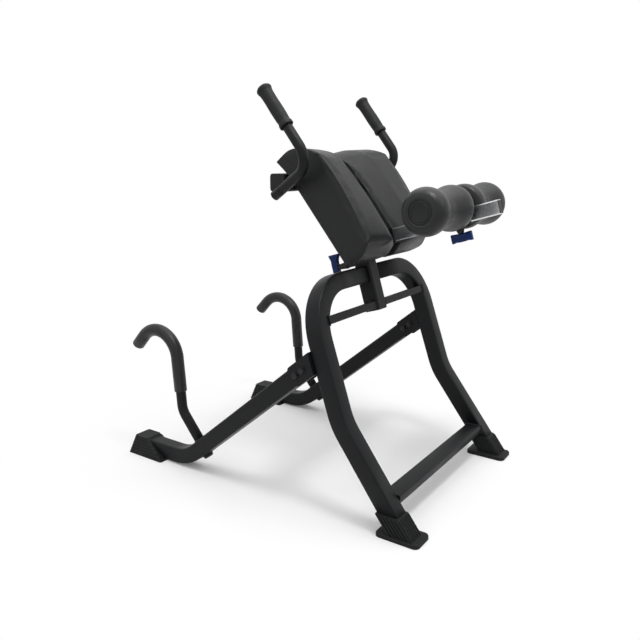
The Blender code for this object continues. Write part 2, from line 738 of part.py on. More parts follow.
def build_pad_frame():
    """The spine behind the pads with its two cross plates, cut to the receiver and the handlebar."""
    front = -GAP - PLATE_THICK + 0.0006
    start = pad_point(0.0, 0.030, front - SPINE / 2)
    spine = rectangular_tube("pad_frame", (SPINE, SPINE), TUBE_WALL, 0.004, 0.248,
                             frame_at(start, PAD_UP, SIDE), POWDER_COAT)
    for number, place in enumerate(PLATE_PLACES, 1):
        middle = pad_point(0.0, place, -GAP - PLATE_THICK)
        outline = rounded_rectangle(2 * PLATE_HALF, PLATE_TALL, 0.010, 3)
        plate = prism_cutter("cross_plate_{}".format(number), [outline], PLATE_THICK,
                             frame_at(middle, PAD_OUT, SIDE))
        boolean(spine, plate, "UNION")
    receiver_top = BAR_HEIGHT + BAR_TALL / 2 + GAP + RECEIVER_WALL + GAP
    below = box_cutter("spine_foot_cut", 0.2, 0.3, 0.2,
                       frame_at(mast_point(0.0, 0.02, receiver_top - 0.2), MAST_UP, SIDE))
    corner = HANDLEBAR_CENTRE - (BACK + UP) * (TUBE / 2 + GAP)
    beyond = box_cutter("spine_head_cut", 0.2, 0.2, 0.2, frame_at(corner + BACK * 0.1, UP, SIDE))
    boolean(spine, below, "DIFFERENCE")
    boolean(spine, beyond, "DIFFERENCE")
    return spine


def board_outline():
    """A pad board's outline, seen from the front."""
    wide = PAD_OUTER - PAD_INNER - 2 * BOARD_INSET
    return (wide, PAD_LENGTH - 0.040)


def board_frame(side, out):
    """A frame in the middle of a pad board, with its Z axis out of the pad."""
    return frame_at(pad_point(side * (PAD_INNER + PAD_OUTER) / 2, PAD_LENGTH / 2, out), PAD_OUT, SIDE)


def build_boards(spine):
    """The plywood boards in the backs of the pads, bolted through the cross plates."""
    wide, tall = board_outline()
    for side, word in SIDES:
        board = prism("pad_board_" + word, [rounded_rectangle(wide, tall, 0.012, 3)], BOARD_THICK - 2 * GAP,
                      board_frame(side, GAP), PLYWOOD)
        for number, place in enumerate(PLATE_PLACES, 1):
            seat = pad_point(side * PAD_BOLT_X, place, -GAP - PLATE_THICK)
            hole = round_cutter("pad_bolt_hole_{}_{}".format(number, word), 0.0033, seat - PAD_OUT * 0.01,
                                seat + PAD_OUT * 0.0138, 8)
            boolean(spine, hole, "DIFFERENCE")
            boolean(board, hole, "DIFFERENCE")
            profile = [(0.0, 0.0052), (0.0050, 0.0045), (0.0080, 0.0022), (0.0085, GAP), (0.0030, GAP),
                       (0.0030, -0.0135), (0.0, -0.0135)]
            turned("pad_bolt_{}_{}".format(number, word), profile, axis_frame(seat, -PAD_OUT), 8, ZINC)


def pad_place(across, along, depth):
    """Where a cage point of a pad lies, for its shares across, along and through the pad."""
    top = PAD_LENGTH - 0.072 * max(0.0, (depth - 0.35) / 0.65) ** 1.8
    foot = -0.027 * math.sin(math.pi * min(depth * 1.8, 1.0) / 2) + 0.037 * max(0.0, depth - 0.80) / 0.20
    place = foot + (top - foot) * along
    valley = 0.011 * min((1.0 - across) / 0.68, 1.0) + 0.033 * max(0.0, (0.32 - across) / 0.32)
    crown = 0.005 * math.sin(math.pi * min(max(along, 0.0), 1.0))
    out = (PAD_THICK + crown - valley) * depth
    pull = 0.004 * math.sin(math.pi * depth) * math.sin(math.pi * along)
    x = PAD_INNER + (PAD_OUTER - PAD_INNER) * across
    if across < 0.001:
        x += pull
    if across > 0.999:
        x -= pull
    return x, place, out


def pad_cage():
    """A unit block sliced at the pad's crease and crown lines."""
    shares = ((0.05, 0.32, 0.64, 0.95), (0.035, 0.34, 0.65, 0.94), (0.06, 0.45, 0.80, 0.95))
    shape = bmesh.new()
    bmesh.ops.create_cube(shape, size=1.0, matrix=Matrix.Translation((0.5, 0.5, 0.5)))
    for axis, places in enumerate(shares):
        normal = Vector([float(other == axis) for other in range(3)])
        for place in places:
            everything = shape.verts[:] + shape.edges[:] + shape.faces[:]
            bmesh.ops.bisect_plane(shape, geom=everything, dist=0.0001, plane_co=normal * place,
                                   plane_no=normal)
    return shape


def build_pads():
    """Two cushions, each a cage of its own outline under a subdivision surface, over its board."""
    for side, word in SIDES:
        shape = pad_cage()
        for vert in shape.verts:
            x, place, out = pad_place(*vert.co)
            vert.co = pad_point(side * x, place, out)
        pad = object_from_bmesh("pad_" + word, shape, PARTS, VINYL)
        pad.data.shade_smooth()
        surface = pad.modifiers.new("crown", "SUBSURF")
        surface.levels = 1
        surface.render_levels = 1
        wide, tall = board_outline()
        outline = rounded_rectangle(wide + 2 * GAP, tall + 2 * GAP, 0.012, 3)
        pocket = prism_cutter("board_pocket_" + word, [outline], BOARD_THICK + 0.02,
                              board_frame(side, -0.02))
        boolean(pad, pocket, "DIFFERENCE")


def build_handlebar():
    """The square handlebar tube, its end caps, and a bent handle with its grip at each end."""
    start = HANDLEBAR_CENTRE - SIDE * HANDLEBAR_HALF
    rectangular_tube("handlebar_tube", (TUBE, TUBE), TUBE_WALL, HANDLEBAR_CORNER, 2 * HANDLEBAR_HALF,
                     frame_at(start, SIDE, BACK), POWDER_COAT)
    for side, word in SIDES:
        outwards = SIDE * side
        end = HANDLEBAR_CENTRE + outwards * (HANDLEBAR_HALF + GAP)
        cap = prism("handlebar_cap_" + word, [rounded_rectangle(TUBE, TUBE, HANDLEBAR_CORNER)],
                    END_CAP_THICK - GAP, frame_at(end, outwards, BACK), PLASTIC)
        size = TUBE - 2 * TUBE_WALL - 2 * GAP
        plug = prism_cutter("cap_plug_" + word, [rounded_rectangle(size, size, 0.0055)], 0.013,
                            frame_at(end - outwards * 0.012, outwards, BACK))
        boolean(cap, plug, "UNION")
        corners = [on_side(side, point) for point in (HANDLE_END, HANDLE_ELBOW, HANDLE_VERTEX, HANDLE_TIP)]
        path = filleted(corners, [0.0, 0.050, HANDLE_BEND_RADIUS, 0.0], [0, 2, 6, 0])
        rise = (path[-1] - path[-2]).normalized()
        path[-1] = path[-1] - rise * 0.006
        round_tube("handle_tube_" + word, path, HANDLE_RADIUS, HANDLE_WALL, POWDER_COAT)
        inside = HANDLE_RADIUS - HANDLE_WALL - 2 * GAP
        profile = [(0.0, 0.0040), (0.0080, 0.0035), (0.0125, 0.0018), (HANDLE_RADIUS, GAP), (inside, GAP),
                   (inside, -0.0110), (0.0, -0.0110)]
        turned("handle_plug_" + word, profile, axis_frame(path[0], path[0] - path[1]), 10, PLASTIC)
        build_grip("handle_grip_" + word, axis_frame(corners[-1] - rise * GRIP_LENGTH, rise))


def build_grip(name, frame):
    """A moulded grip with a flange at its top, a collar at its foot and a blind bore."""
    bore = HANDLE_RADIUS + 2 * GAP
    top = GRIP_LENGTH
    profile = [
        (0.0, top + 0.003), (0.0180, top + 0.002), (0.0240, top - 0.001), (0.0250, top - 0.005),
        (0.0225, top - 0.010), (GRIP_RADIUS, top - 0.015), (GRIP_RADIUS - 0.0010, top * 0.65),
        (GRIP_RADIUS, top * 0.40), (GRIP_RADIUS - 0.0015, 0.012), (0.0225, 0.008), (0.0235, 0.004),
        (0.0215, 0.0), (bore, 0.0), (bore, top - 0.0057), (0.0, top - 0.0057),
    ]
    return turned(name, profile, frame, 14, RUBBER)


def axle_centre():
    """The middle of the rollers' axle."""
    return mast_point(0.0, -AXLE_AHEAD, BAR_HEIGHT + AXLE_ABOVE_BAR)


def build_slider():
    """The slider on the thigh bar, with its knob boss and the saddle that carries the axle."""
    half_wide = BAR_WIDE / 2 + GAP + RECEIVER_WALL
    half_tall = BAR_TALL / 2 + GAP + RECEIVER_WALL
    slider = prism("slider_sleeve", bar_outlines(RECEIVER_WALL), SLIDER_FRONT - SLIDER_REAR,
                   bar_frame(SLIDER_REAR), POWDER_COAT)
    axle = axle_centre()
    saddle = round_cutter("axle_saddle", 0.0120, axle - SIDE * half_wide, axle + SIDE * half_wide, 18)
    seat = mast_point(0.0, -ROLLER_KNOB_AHEAD, BAR_HEIGHT - half_tall + 0.001)
    boss = round_cutter("slider_boss", BOSS_RADIUS, seat, seat - MAST_UP * 0.009, 16)
    bore = round_cutter("slider_bore", STUD_RADIUS + GAP, seat + MAST_UP * 0.012, seat - MAST_UP * 0.03)
    space = prism_cutter("slider_bar_space", bar_outlines(RECEIVER_WALL)[1:],
                         SLIDER_FRONT - SLIDER_REAR + 0.04, bar_frame(SLIDER_REAR - 0.02))
    axle_bore = round_cutter("axle_bore", AXLE_RADIUS + GAP, axle - SIDE * 0.05, axle + SIDE * 0.05)
    boolean(slider, saddle, "UNION")
    boolean(slider, boss, "UNION")
    boolean(slider, space, "DIFFERENCE")
    boolean(slider, bore, "DIFFERENCE")
    boolean(slider, axle_bore, "DIFFERENCE")
    half = ROLLER_OUTER - ROLLER_CAP_DEPTH - 0.001
    cylinder("roller_axle", AXLE_RADIUS, axle - SIDE * half, axle + SIDE * half, 16, ZINC)


def roller_profile(length):
    """The foam's outer side, two bulges with a waist between, from the outer to the inner end."""
    count = 16
    mean = (ROLLER_BULGE_RADIUS + ROLLER_WAIST_RADIUS) / 2
    swing = (ROLLER_BULGE_RADIUS - ROLLER_WAIST_RADIUS) / 2
    points = []
    for index in range(count, -1, -1):
        place = index / count
        edge = 0.003 if index in (0, count) else 0.0
        points.append((mean - swing * math.cos(4 * math.pi * place) - edge, length * place))
    return points


def build_rollers():
    """A foam roller each side of the slider, on a plastic core, with a snap-in end cap."""
    length = ROLLER_OUTER - ROLLER_INNER
    floor = length - ROLLER_CAP_DEPTH
    bore = ROLLER_CORE_RADIUS + GAP
    recess = ROLLER_CAP_RADIUS + GAP
    core_bore = AXLE_RADIUS + GAP
    for side, word in SIDES:
        frame = axis_frame(axle_centre() + SIDE * side * ROLLER_INNER, SIDE * side)
        foam = [(recess, length - 0.001)] + roller_profile(length) + [(bore, 0.0), (bore, floor),
                                                                      (recess, floor)]
        turned("roller_foam_" + word, foam, frame, 20, FOAM, True)
        core = [(ROLLER_CORE_RADIUS, floor), (ROLLER_CORE_RADIUS, -GAP), (0.0190, -GAP), (0.0190, -0.0035),
                (core_bore, -0.0035), (core_bore, floor)]
        turned("roller_core_" + word, core, frame, 12, PLASTIC, True)
        top = length - 0.0015
        cap = [(0.0, top), (0.0225, top - 0.0002), (0.0245, top - 0.0016), (0.0265, top - 0.0002),
               (0.0300, top - 0.0006), (ROLLER_CAP_RADIUS, top - 0.0020), (ROLLER_CAP_RADIUS, floor + GAP),
               (0.0, floor + GAP)]
        turned("roller_cap_" + word, cap, frame, 20, PLASTIC)


def build_knob(name, seat, axis, along, tip, collar, bar_end, bar_long):
    """A clamp knob: a stud with its conical collar, and the T-shaped bar on it."""
    collar_start, collar_end = collar
    spigot = 0.0050
    spigot_end = collar_end + 0.015
    profile = [
        (0.0, spigot_end), (spigot, spigot_end), (spigot, collar_end), (COLLAR_RADIUS - 0.003, collar_end),
        (COLLAR_RADIUS, collar_start + 0.003), (COLLAR_RADIUS, collar_start), (STUD_RADIUS, collar_start),
        (STUD_RADIUS, tip + 0.001), (STUD_RADIUS - 0.001, tip), (0.0, tip),
    ]
    turned(name + "_stud", profile, axis_frame(seat, axis), 12, PLASTIC)
    thick = axis.cross(along).normalized()
    height = bar_end - collar_end - GAP
    half_bar = ((0.20, 0.80, 1.00), (0.50, 0.86, 0.92), (0.93, 1.00, 0.85), (1.00, 0.86, 0.60))
    stations = [(-place, tall, wide) for place, tall, wide in reversed(half_bar)] + list(half_bar)
    rings = []
    for place, tall, wide in stations:
        centre = seat + axis * (collar_end + GAP + height * tall / 2) + along * (place * bar_long / 2)
        outline = rounded_rectangle(KNOB_BAR_THICK * wide, height * tall, 0.0040, 2)
        rings.append([centre + thick * x + axis * y for x, y in outline])
    bar = loft(name + "_bar", rings, BLUE_PLASTIC)
    socket = round_cutter(name + "_socket", spigot + GAP, seat + axis * (collar_end - 0.005),
                          seat + axis * (spigot_end + GAP))
    return boolean(bar, socket, "DIFFERENCE")


def build_knobs():
    """The knob that clamps the post, behind the mast, and the one that clamps the slider, under it."""
    build_knob("mast_knob", mast_point(0.0, 0.0, KNOB_HEIGHT), MAST_BACK, MAST_UP, POST / 2 + 2 * GAP,
               (KNOB_BOSS_END + GAP, 0.0920), 0.1180, 0.070)
    boss_end = BAR_TALL / 2 + GAP + RECEIVER_WALL - 0.001 + 0.009
    build_knob("roller_knob", mast_point(0.0, -ROLLER_KNOB_AHEAD, BAR_HEIGHT), -MAST_UP, BAR_AHEAD,
               BAR_TALL / 2 + 2 * GAP, (boss_end + GAP, 0.0420), 0.0665, 0.060)


def parent_to_axis(name, place, members):
    """Parents the pieces of one moving body to an empty that stands on its joint's axis."""
    empty = bpy.data.objects.new(name + "_axis", None)
    empty.location = place
    PARTS.objects.link(empty)
    for member in members:
        obj = bpy.data.objects[member]
        obj.parent = empty
        obj.matrix_parent_inverse = Matrix.Translation(-Vector(place))


CARRIAGE = (
    "mast_post", "bar_receiver", "thigh_bar", "thigh_bar_plug", "pad_frame", "pad_board_right",
    "pad_board_left", "pad_bolt_1_right", "pad_bolt_2_right", "pad_bolt_1_left", "pad_bolt_2_left",
    "pad_right", "pad_left", "handlebar_tube", "handlebar_cap_right", "handlebar_cap_left",
    "handle_tube_right", "handle_tube_left", "handle_plug_right", "handle_plug_left",
    "handle_grip_right", "handle_grip_left",
)


def build():
    """Builds every piece, then parents the moving ones to their axes."""
    build_arch()
    build_crossbars()
    build_mast_sleeve()
    build_rear_legs()
    build_j_handles()
    build_front_boots()
    build_rear_boots()
    build_post_and_bar()
    build_boards(build_pad_frame())
    build_pads()
    build_handlebar()
    build_slider()
    build_rollers()
    build_knobs()
    parent_to_axis("carriage", mast_point(0.0, 0.0, 0.0), CARRIAGE)
    parent_to_axis("slider", axle_centre(), ("slider_sleeve", "roller_axle"))
    for side, word in SIDES:
        members = ["roller_foam_" + word, "roller_core_" + word, "roller_cap_" + word]
        parent_to_axis("roller_" + word, axle_centre() + SIDE * side * ROLLER_INNER, members)
    parent_to_axis("mast_knob", mast_point(0.0, 0.0, KNOB_HEIGHT), ("mast_knob_stud", "mast_knob_bar"))
    parent_to_axis("roller_knob", mast_point(0.0, -ROLLER_KNOB_AHEAD, BAR_HEIGHT),
                   ("roller_knob_stud", "roller_knob_bar"))


build()
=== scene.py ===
"""Finishes, cushions, re-formed tubes and studio of an inversion core trainer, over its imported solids."""
import json
import math

import bmesh
import bpy
from bpy.props import FloatProperty, FloatVectorProperty, IntProperty, PointerProperty
from mathutils import Matrix, Vector


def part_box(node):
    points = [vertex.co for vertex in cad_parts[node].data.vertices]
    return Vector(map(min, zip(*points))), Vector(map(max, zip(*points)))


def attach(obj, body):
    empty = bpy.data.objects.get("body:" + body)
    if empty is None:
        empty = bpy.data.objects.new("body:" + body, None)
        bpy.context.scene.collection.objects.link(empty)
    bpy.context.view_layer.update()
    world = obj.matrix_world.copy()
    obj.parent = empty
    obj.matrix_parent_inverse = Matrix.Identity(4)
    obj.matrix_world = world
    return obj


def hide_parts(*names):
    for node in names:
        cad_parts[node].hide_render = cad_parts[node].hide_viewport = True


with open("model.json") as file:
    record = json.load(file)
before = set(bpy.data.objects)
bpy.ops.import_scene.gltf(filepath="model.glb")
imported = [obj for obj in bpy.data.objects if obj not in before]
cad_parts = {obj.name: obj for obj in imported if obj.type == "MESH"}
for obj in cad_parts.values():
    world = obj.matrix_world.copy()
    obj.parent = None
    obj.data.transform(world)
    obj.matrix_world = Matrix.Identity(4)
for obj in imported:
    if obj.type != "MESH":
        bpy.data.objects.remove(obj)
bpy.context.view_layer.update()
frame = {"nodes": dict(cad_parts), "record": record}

bl_info = {
    "name": "Inversion core trainer",
    "version": (1, 0, 0),
    "blender": (4, 5, 0),
    "location": "3D View > Sidebar > Trainer",
    "description": "Finishes, cushions and studio for an inversion core trainer",
    "category": "Object",
}

SIDES = ((1, "right"), (-1, "left"))
ACROSS = Vector((1.0, 0.0, 0.0))
BACK = Vector((0.0, 1.0, 0.0))
UP = Vector((0.0, 0.0, 1.0))
WHITE = (1.0, 1.0, 1.0, 1.0)
FLOOR_RADIUS = 9.0

# The mast's own frame: it leans back 16.8 degrees, and the chrome bar runs square to it
MAST_LEAN = math.radians(16.8)
MAST_FOOT = Vector((0.0, -0.1826, 0.5106))
MAST_UP = Vector((0.0, math.sin(MAST_LEAN), math.cos(MAST_LEAN)))
MAST_BACK = Vector((0.0, math.cos(MAST_LEAN), -math.sin(MAST_LEAN)))

# The pads' own frame: along them, and out from their rear face
PAD_ANGLE = math.radians(51.0)
PAD_CORNER = Vector((0.0, -0.1710, 0.6884))
PAD_UP = Vector((0.0, math.cos(PAD_ANGLE), math.sin(PAD_ANGLE)))
PAD_OUT = Vector((0.0, -math.sin(PAD_ANGLE), math.cos(PAD_ANGLE)))
PAD_LENGTH = 0.332
PAD_THICK = 0.121
PAD_OUTER = 0.184
PAD_INNER = 0.0195
PAD_CREASE = 0.36  # where the front's inner slope begins, as a share of the pad's width
BOARD_DEPTH = 0.0123
POCKET_MIDDLE = 0.10025
POCKET_WIDTH = 0.1421

# Rollers
AXLE = MAST_FOOT - MAST_BACK * 0.321 + MAST_UP * 0.2285
ROLLER_INNER = 0.022
BALL_END = 0.226
BALL = 0.193
WAIST = 0.119

# Hooked handles
HOOK_CENTRE = Vector((0.311, 0.4280, 0.3420))
HOOK_RADIUS = 0.0835
HOOK_SWEEP = math.radians(137.0)
HOOK_STRAIGHT = 0.046
HOOK_RISE = Vector((0.0, 0.0118, 0.1633))
HOOK_ENTRY = Vector((0.0, math.sin(math.radians(39.4)), math.cos(math.radians(39.4))))
HOOK_SEAT = Vector((0.311, 0.2483, 0.0759))
HOOK_TUBE = 0.0155
HOOK_BEND = 0.060
FOAM_FOOT = 0.241

# Upper handles
HANDLE_TUBE = 0.014
HANDLE_BEND = 0.050
GRIP_FOOT = Vector((0.2500, -0.0449, 1.0318))
HANDLE_TIP = Vector((0.2500, 0.0325, 1.1300))
HANDLE_PATH = (Vector((0.2063, 0.0345, 0.8473)), Vector((0.2063, 0.0040, 0.8688)),
               Vector((0.2500, -0.1200, 0.9365)), Vector((0.2500, 0.0292, 1.1258)))

# Arch: the right leg's centreline from the foot to the corner of the top bar
TUBE = 0.050
TUBE_CORNER = 0.006
TUBE_WALL = 0.002
ARCH_HALF = (Vector((0.3110, -0.4385, 0.0300)), Vector((0.3065, -0.2597, 0.2687)),
             Vector((0.3020, -0.1430, 0.6145)))
ARCH_KNEE = 0.200
ARCH_CORNER = 0.142
ARCH_LEAN = Vector((0.0, 0.3198, 0.9475))
NOTCH = (0.0506, 0.0506, 0.160)
CROSSBAR = 0.022
LEG_UP = (ARCH_HALF[1] - ARCH_HALF[0]).normalized()

# Front boots: the plate on the floor, and the level rim of the ribbed socket
PLATE_CENTRE = Vector((0.306, -0.444, 0.0055))
PLATE_SIZE = (0.076, 0.125, 0.011)
SOCKET = 0.053
RIM_HEIGHT = 0.063

# Bracket bolts: where head and nut seat, and their size across
BOLT_HEAD = 0.3393
BOLT_NUT = 0.2827
BOLT_ACROSS = 0.0088

# Step bar: a flat tube lying level between the legs
STEP_CENTRE = Vector((0.0, -0.3974, 0.0849))
STEP_HALF = 0.2854
STEP_DEEP = 0.050
STEP_TALL = 0.025


def linear(code):
    """The linear colour of an sRGB hex code."""
    channels = [int(code[place:place + 2], 16) / 255 for place in (1, 3, 5)]
    return tuple(c / 12.92 if c <= 0.04045 else ((c + 0.055) / 1.055) ** 2.4 for c in channels)


def length_setting(name, text, default, low, high):
    """A length among the settings, in metres."""
    return FloatProperty(name=name, description=text, default=default, min=low, max=high, unit="LENGTH")


def colour_setting(name, text, code):
    """A colour among the settings, from its sRGB code."""
    return FloatVectorProperty(name=name, description=text, default=linear(code), subtype="COLOR",
                               min=0.0, max=1.0)


class TrainerSizes(bpy.types.PropertyGroup):
    """Sizes of the soft and sewn pieces, and of small metalwork."""

    pad_swell: length_setting("Pad swell", "How far a pad's skin may be pushed out", 0.003, 0.0, 0.02)
    pressure: FloatProperty(name="Pad pressure", description="Pressure of the filling in a pad",
                            default=4.0, min=0.0, max=10.0)
    bulge: length_setting("Roller bulge", "Radius of a foam roller at its bulges", 0.0612, 0.05, 0.065)
    waist: length_setting("Roller waist", "Radius of a foam roller between its bulges", 0.0452, 0.04, 0.055)
    hook_foam: length_setting("Hook foam", "Radius of the foam on the hooked handles", 0.0195, 0.018, 0.022)
    weld: length_setting("Weld bead", "Leg length of a weld bead", 0.0032, 0.001, 0.005)
    turns: IntProperty(name="Round steps", description="Steps round a turned piece",
                       default=64, min=24, max=96)


class TrainerColours(bpy.types.PropertyGroup):
    """Colours of the finishes."""

    coat: colour_setting("Powder coat", "Colour of the painted steel", "#131416")
    vinyl: colour_setting("Vinyl", "Colour of the pads' covers", "#121314")
    foam: colour_setting("Foam", "Colour of the closed-cell foam", "#121314")
    rubber: colour_setting("Rubber", "Colour of the boots and grips", "#141516")
    knob: colour_setting("Knob", "Colour of the clamp knobs", "#02255c")


def mast_point(across, back, up):
    """A point in the mast's frame."""
    return MAST_FOOT + ACROSS * across + MAST_BACK * back + MAST_UP * up


def pad_point(across, along, out):
    """A point in the pads' frame."""
    return PAD_CORNER + ACROSS * across + PAD_UP * along + PAD_OUT * out


def frame_at(origin, z_axis, x_axis):
    """A matrix with its origin, its Z axis and its X axis, made square to Z."""
    z_axis = z_axis.normalized()
    x_axis = (x_axis - z_axis * z_axis.dot(x_axis)).normalized()
    matrix = Matrix((x_axis, z_axis.cross(x_axis), z_axis)).transposed().to_4x4()
    matrix.translation = origin
    return matrix


def add_node(tree, kind, inputs=None, settings=None):
    """Adds a shader node with its inputs, each a value or a socket to link from, and its settings."""
    node = tree.nodes.new("ShaderNode" + kind)
    for name, value in (settings or {}).items():
        setattr(node, name, value)
    for name, value in (inputs or {}).items():
        if isinstance(value, bpy.types.NodeSocket):
            tree.links.new(value, node.inputs[name])
        else:
            node.inputs[name].default_value = value
    return node


def calculated(tree, operation, *values):
    """The result of a maths node, from values or sockets."""
    return add_node(tree, "Math", dict(enumerate(values)), {"operation": operation}).outputs[0]


def ranged(tree, value, start, end, low=0.0, high=1.0, kind="LINEAR"):
    """A value mapped from one range to another."""
    return add_node(tree, "MapRange", {
        "Value": value, "From Min": start, "From Max": end, "To Min": low, "To Max": high},
        {"interpolation_type": kind}).outputs["Result"]


def new_finish(name, colour, roughness, specular=0.5, metallic=0.0):
    """Makes a material with its Principled shader set; gives its tree, shader and object coordinates."""
    material = bpy.data.materials.new(name)
    material.use_nodes = True
    tree = material.node_tree
    shader = tree.nodes["Principled BSDF"]
    for key, value in (("Base Color", (*colour, 1.0)), ("Roughness", roughness),
                       ("Specular IOR Level", specular), ("Metallic", metallic)):
        shader.inputs[key].default_value = value
    return tree, shader, add_node(tree, "TexCoord").outputs["Object"]


def mottled(tree, shader, place, scale, low, high):
    """Lets the roughness drift between two values over patches of a scale."""
    patches = noise(tree, place, scale, 3.0)
    tree.links.new(ranged(tree, patches, 0.3, 0.7, low, high), shader.inputs["Roughness"])
    return patches


def tinted(tree, shader, factor, first, second):
    """Mixes two near colours over a pattern."""
    mix = add_node(tree, "Mix", {
        "Factor": factor, 6: (*first, 1.0), 7: (*second, 1.0)}, {"data_type": "RGBA"})
    tree.links.new(mix.outputs[2], shader.inputs["Base Color"])


def shades(colour, first, second):
    """Two shades of a colour, by their factors."""
    return [tuple(min(1.0, channel * factor) for channel in colour) for factor in (first, second)]


def raised(tree, shader, height, distance, strength):
    """Bumps the surface by a pattern's height."""
    bump = add_node(tree, "Bump", {
        "Height": height, "Distance": distance, "Strength": strength})
    tree.links.new(bump.outputs["Normal"], shader.inputs["Normal"])


def varied(name, colour, shine, patch, pair):
    """Starts a finish whose roughness and colour drift over the same patches."""
    tree, shader, place = new_finish(name, colour, *shine)
    tinted(tree, shader, mottled(tree, shader, place, *patch), *pair)
    return tree, shader, place


def noise(tree, place, scale, detail):
    """A noise pattern's value."""
    return add_node(tree, "TexNoise", {
        "Vector": place, "Scale": scale, "Detail": detail}).outputs["Fac"]


# Name, colour setting, (roughness, specular), (patch scale, roughness from, to), shades, and the grain's
# (scale, detail, depth, strength)
GRAINED = (
    # Matt polyester powder coat baked on steel: a fine orange peel that breaks up its highlights. Its pitch
    # is about 0.8 mm; it is drawn at 2 mm so that it shows
    ("matt_powder_coat", "coat", (0.42, 0.16), (14.0, 0.38, 0.47), (0.92, 1.10), (520.0, 2.0, 0.00012, 0.55)),
    # Injection moulded rubber from a spark-eroded tool: an even, dull, fine grain
    ("moulded_rubber", "rubber", (0.6, 0.2), (25.0, 0.55, 0.68), (0.90, 1.25), (700.0, 2.0, 0.00015, 0.6)),
    # Polypropylene caps and liners: satin, from a lightly grained tool
    ("grained_polypropylene", "rubber", (0.45, 0.25), (18.0, 0.40, 0.52), (0.95, 1.35),
     (900.0, 1.0, 0.00006, 0.5)),
    # Navy blue ABS knobs: semi-gloss, with a faint flow pattern under the skin
    ("glossy_blue_abs", "knob", (0.34, 0.22), (40.0, 0.26, 0.38), (0.88, 1.12), (500.0, 1.0, 0.00004, 0.5)),
)


def grained_finish(colours, name, setting, shine, patch, factors, grain):
    """A painted or moulded finish of the table above."""
    colour = getattr(colours, setting)
    tree, shader, place = varied(name, colour, shine, patch, shades(colour, *factors))
    raised(tree, shader, noise(tree, place, *grain[:2]), *grain[2:])


def upholstery_vinyl(colours):
    """Calendered PVC upholstery: an embossed leather grain with a soft sheen over dense foam."""
    tree, shader, place = varied("embossed_upholstery_vinyl", colours.vinyl, (0.36, 0.26),
                                 (30.0, 0.36, 0.41), shades(colours.vinyl, 0.96, 1.05))
    # Leather grain is 1 to 2 mm wide
    grain = add_node(tree, "TexVoronoi", {
        "Vector": place, "Scale": 480.0, "Randomness": 1.0}, {"feature": "DISTANCE_TO_EDGE"})
    creases = ranged(tree, grain.outputs["Distance"], 0.0, 0.16)
    height = calculated(tree, "MULTIPLY_ADD", noise(tree, place, 160.0, 4.0), 0.6, creases)
    raised(tree, shader, height, 0.00022, 0.6)


def closed_cell_foam(colours):
    """Nitrile closed-cell foam with its moulded skin: satin, with tiny cells and shallow dimples."""
    tree, shader, place = varied("closed_cell_foam", colours.foam, (0.38, 0.34), (20.0, 0.34, 0.42),
                                 shades(colours.foam, 0.90, 1.12))
    # Cells are about 0.5 mm wide; they are drawn at 1.5 mm so that they show
    cells = add_node(tree, "TexVoronoi", {"Vector": place, "Scale": 650.0})
    height = calculated(tree, "MULTIPLY_ADD", noise(tree, place, 60.0, 2.0), 1.5, cells.outputs["Distance"])
    raised(tree, shader, height, 0.00018, 0.5)


def grip_rubber(colours):
    """Soft PVC grip: dull, with a fine pebbled pattern that a hand can hold."""
    tree, shader, place = varied("textured_grip_rubber", colours.rubber, (0.58, 0.22), (30.0, 0.5, 0.64),
                                 shades(colours.rubber, 1.15, 1.40))
    pebbles = add_node(tree, "TexVoronoi", {
        "Vector": place, "Scale": 620.0}, {"feature": "SMOOTH_F1"})
    raised(tree, shader, pebbles.outputs["Distance"], 0.00004, 0.3)


def chrome_plate():
    """Bright chrome on drawn tube: nearly a mirror, with faint draw lines along the bar."""
    tree, shader, place = new_finish("bright_chrome_plate", linear("#d2d3d6"), 0.24, metallic=1.0)
    # The draw lines run along the bar, about 1 mm apart
    turn = add_node(tree, "Mapping", {
        "Vector": place, "Rotation": (MAST_LEAN, 0.0, 0.0), "Scale": (900.0, 6.0, 900.0)})
    lines = noise(tree, turn.outputs["Vector"], 1.0, 2.0)
    tree.links.new(ranged(tree, lines, 0.0, 1.0, 0.20, 0.28), shader.inputs["Roughness"])
    raised(tree, shader, lines, 0.00001, 0.2)


def zinc_plate():
    """Bright zinc on fasteners: silvery and slightly cloudy."""
    tree, shader, place = varied("bright_zinc_plate", linear("#aeb1b5"), (0.34, 0.5, 1.0),
                                 (120.0, 0.26, 0.44), (linear("#9b9ea3"), linear("#bcbfc2")))
    raised(tree, shader, noise(tree, place, 900.0, 2.0), 0.00005, 0.4)


def black_oxide():
    """Oiled black oxide on bolt heads: dark with a low metal shine."""
    varied("oiled_black_oxide", linear("#2a2a2b"), (0.42, 0.5, 0.8), (150.0, 0.34, 0.5),
           (linear("#202021"), linear("#333436")))


def birch_plywood():
    """Raw birch board in the backs of the pads, with its long grain."""
    tree, shader, place = new_finish("raw_birch_plywood", linear("#b08f64"), 0.72)
    # The board leans with the pads, so its grain is turned to run along them
    turn = add_node(tree, "Mapping", {
        "Vector": place, "Rotation": (math.pi / 2 - PAD_ANGLE, 0.0, 0.0), "Scale": (60.0, 60.0, 4.0)})
    grain = add_node(tree, "TexNoise", {
        "Vector": turn.outputs["Vector"], "Scale": 1.0, "Detail": 5.0, "Distortion": 0.6}).outputs["Fac"]
    tinted(tree, shader, grain, linear("#96734a"), linear("#c6a678"))
    raised(tree, shader, grain, 0.0002, 0.4)


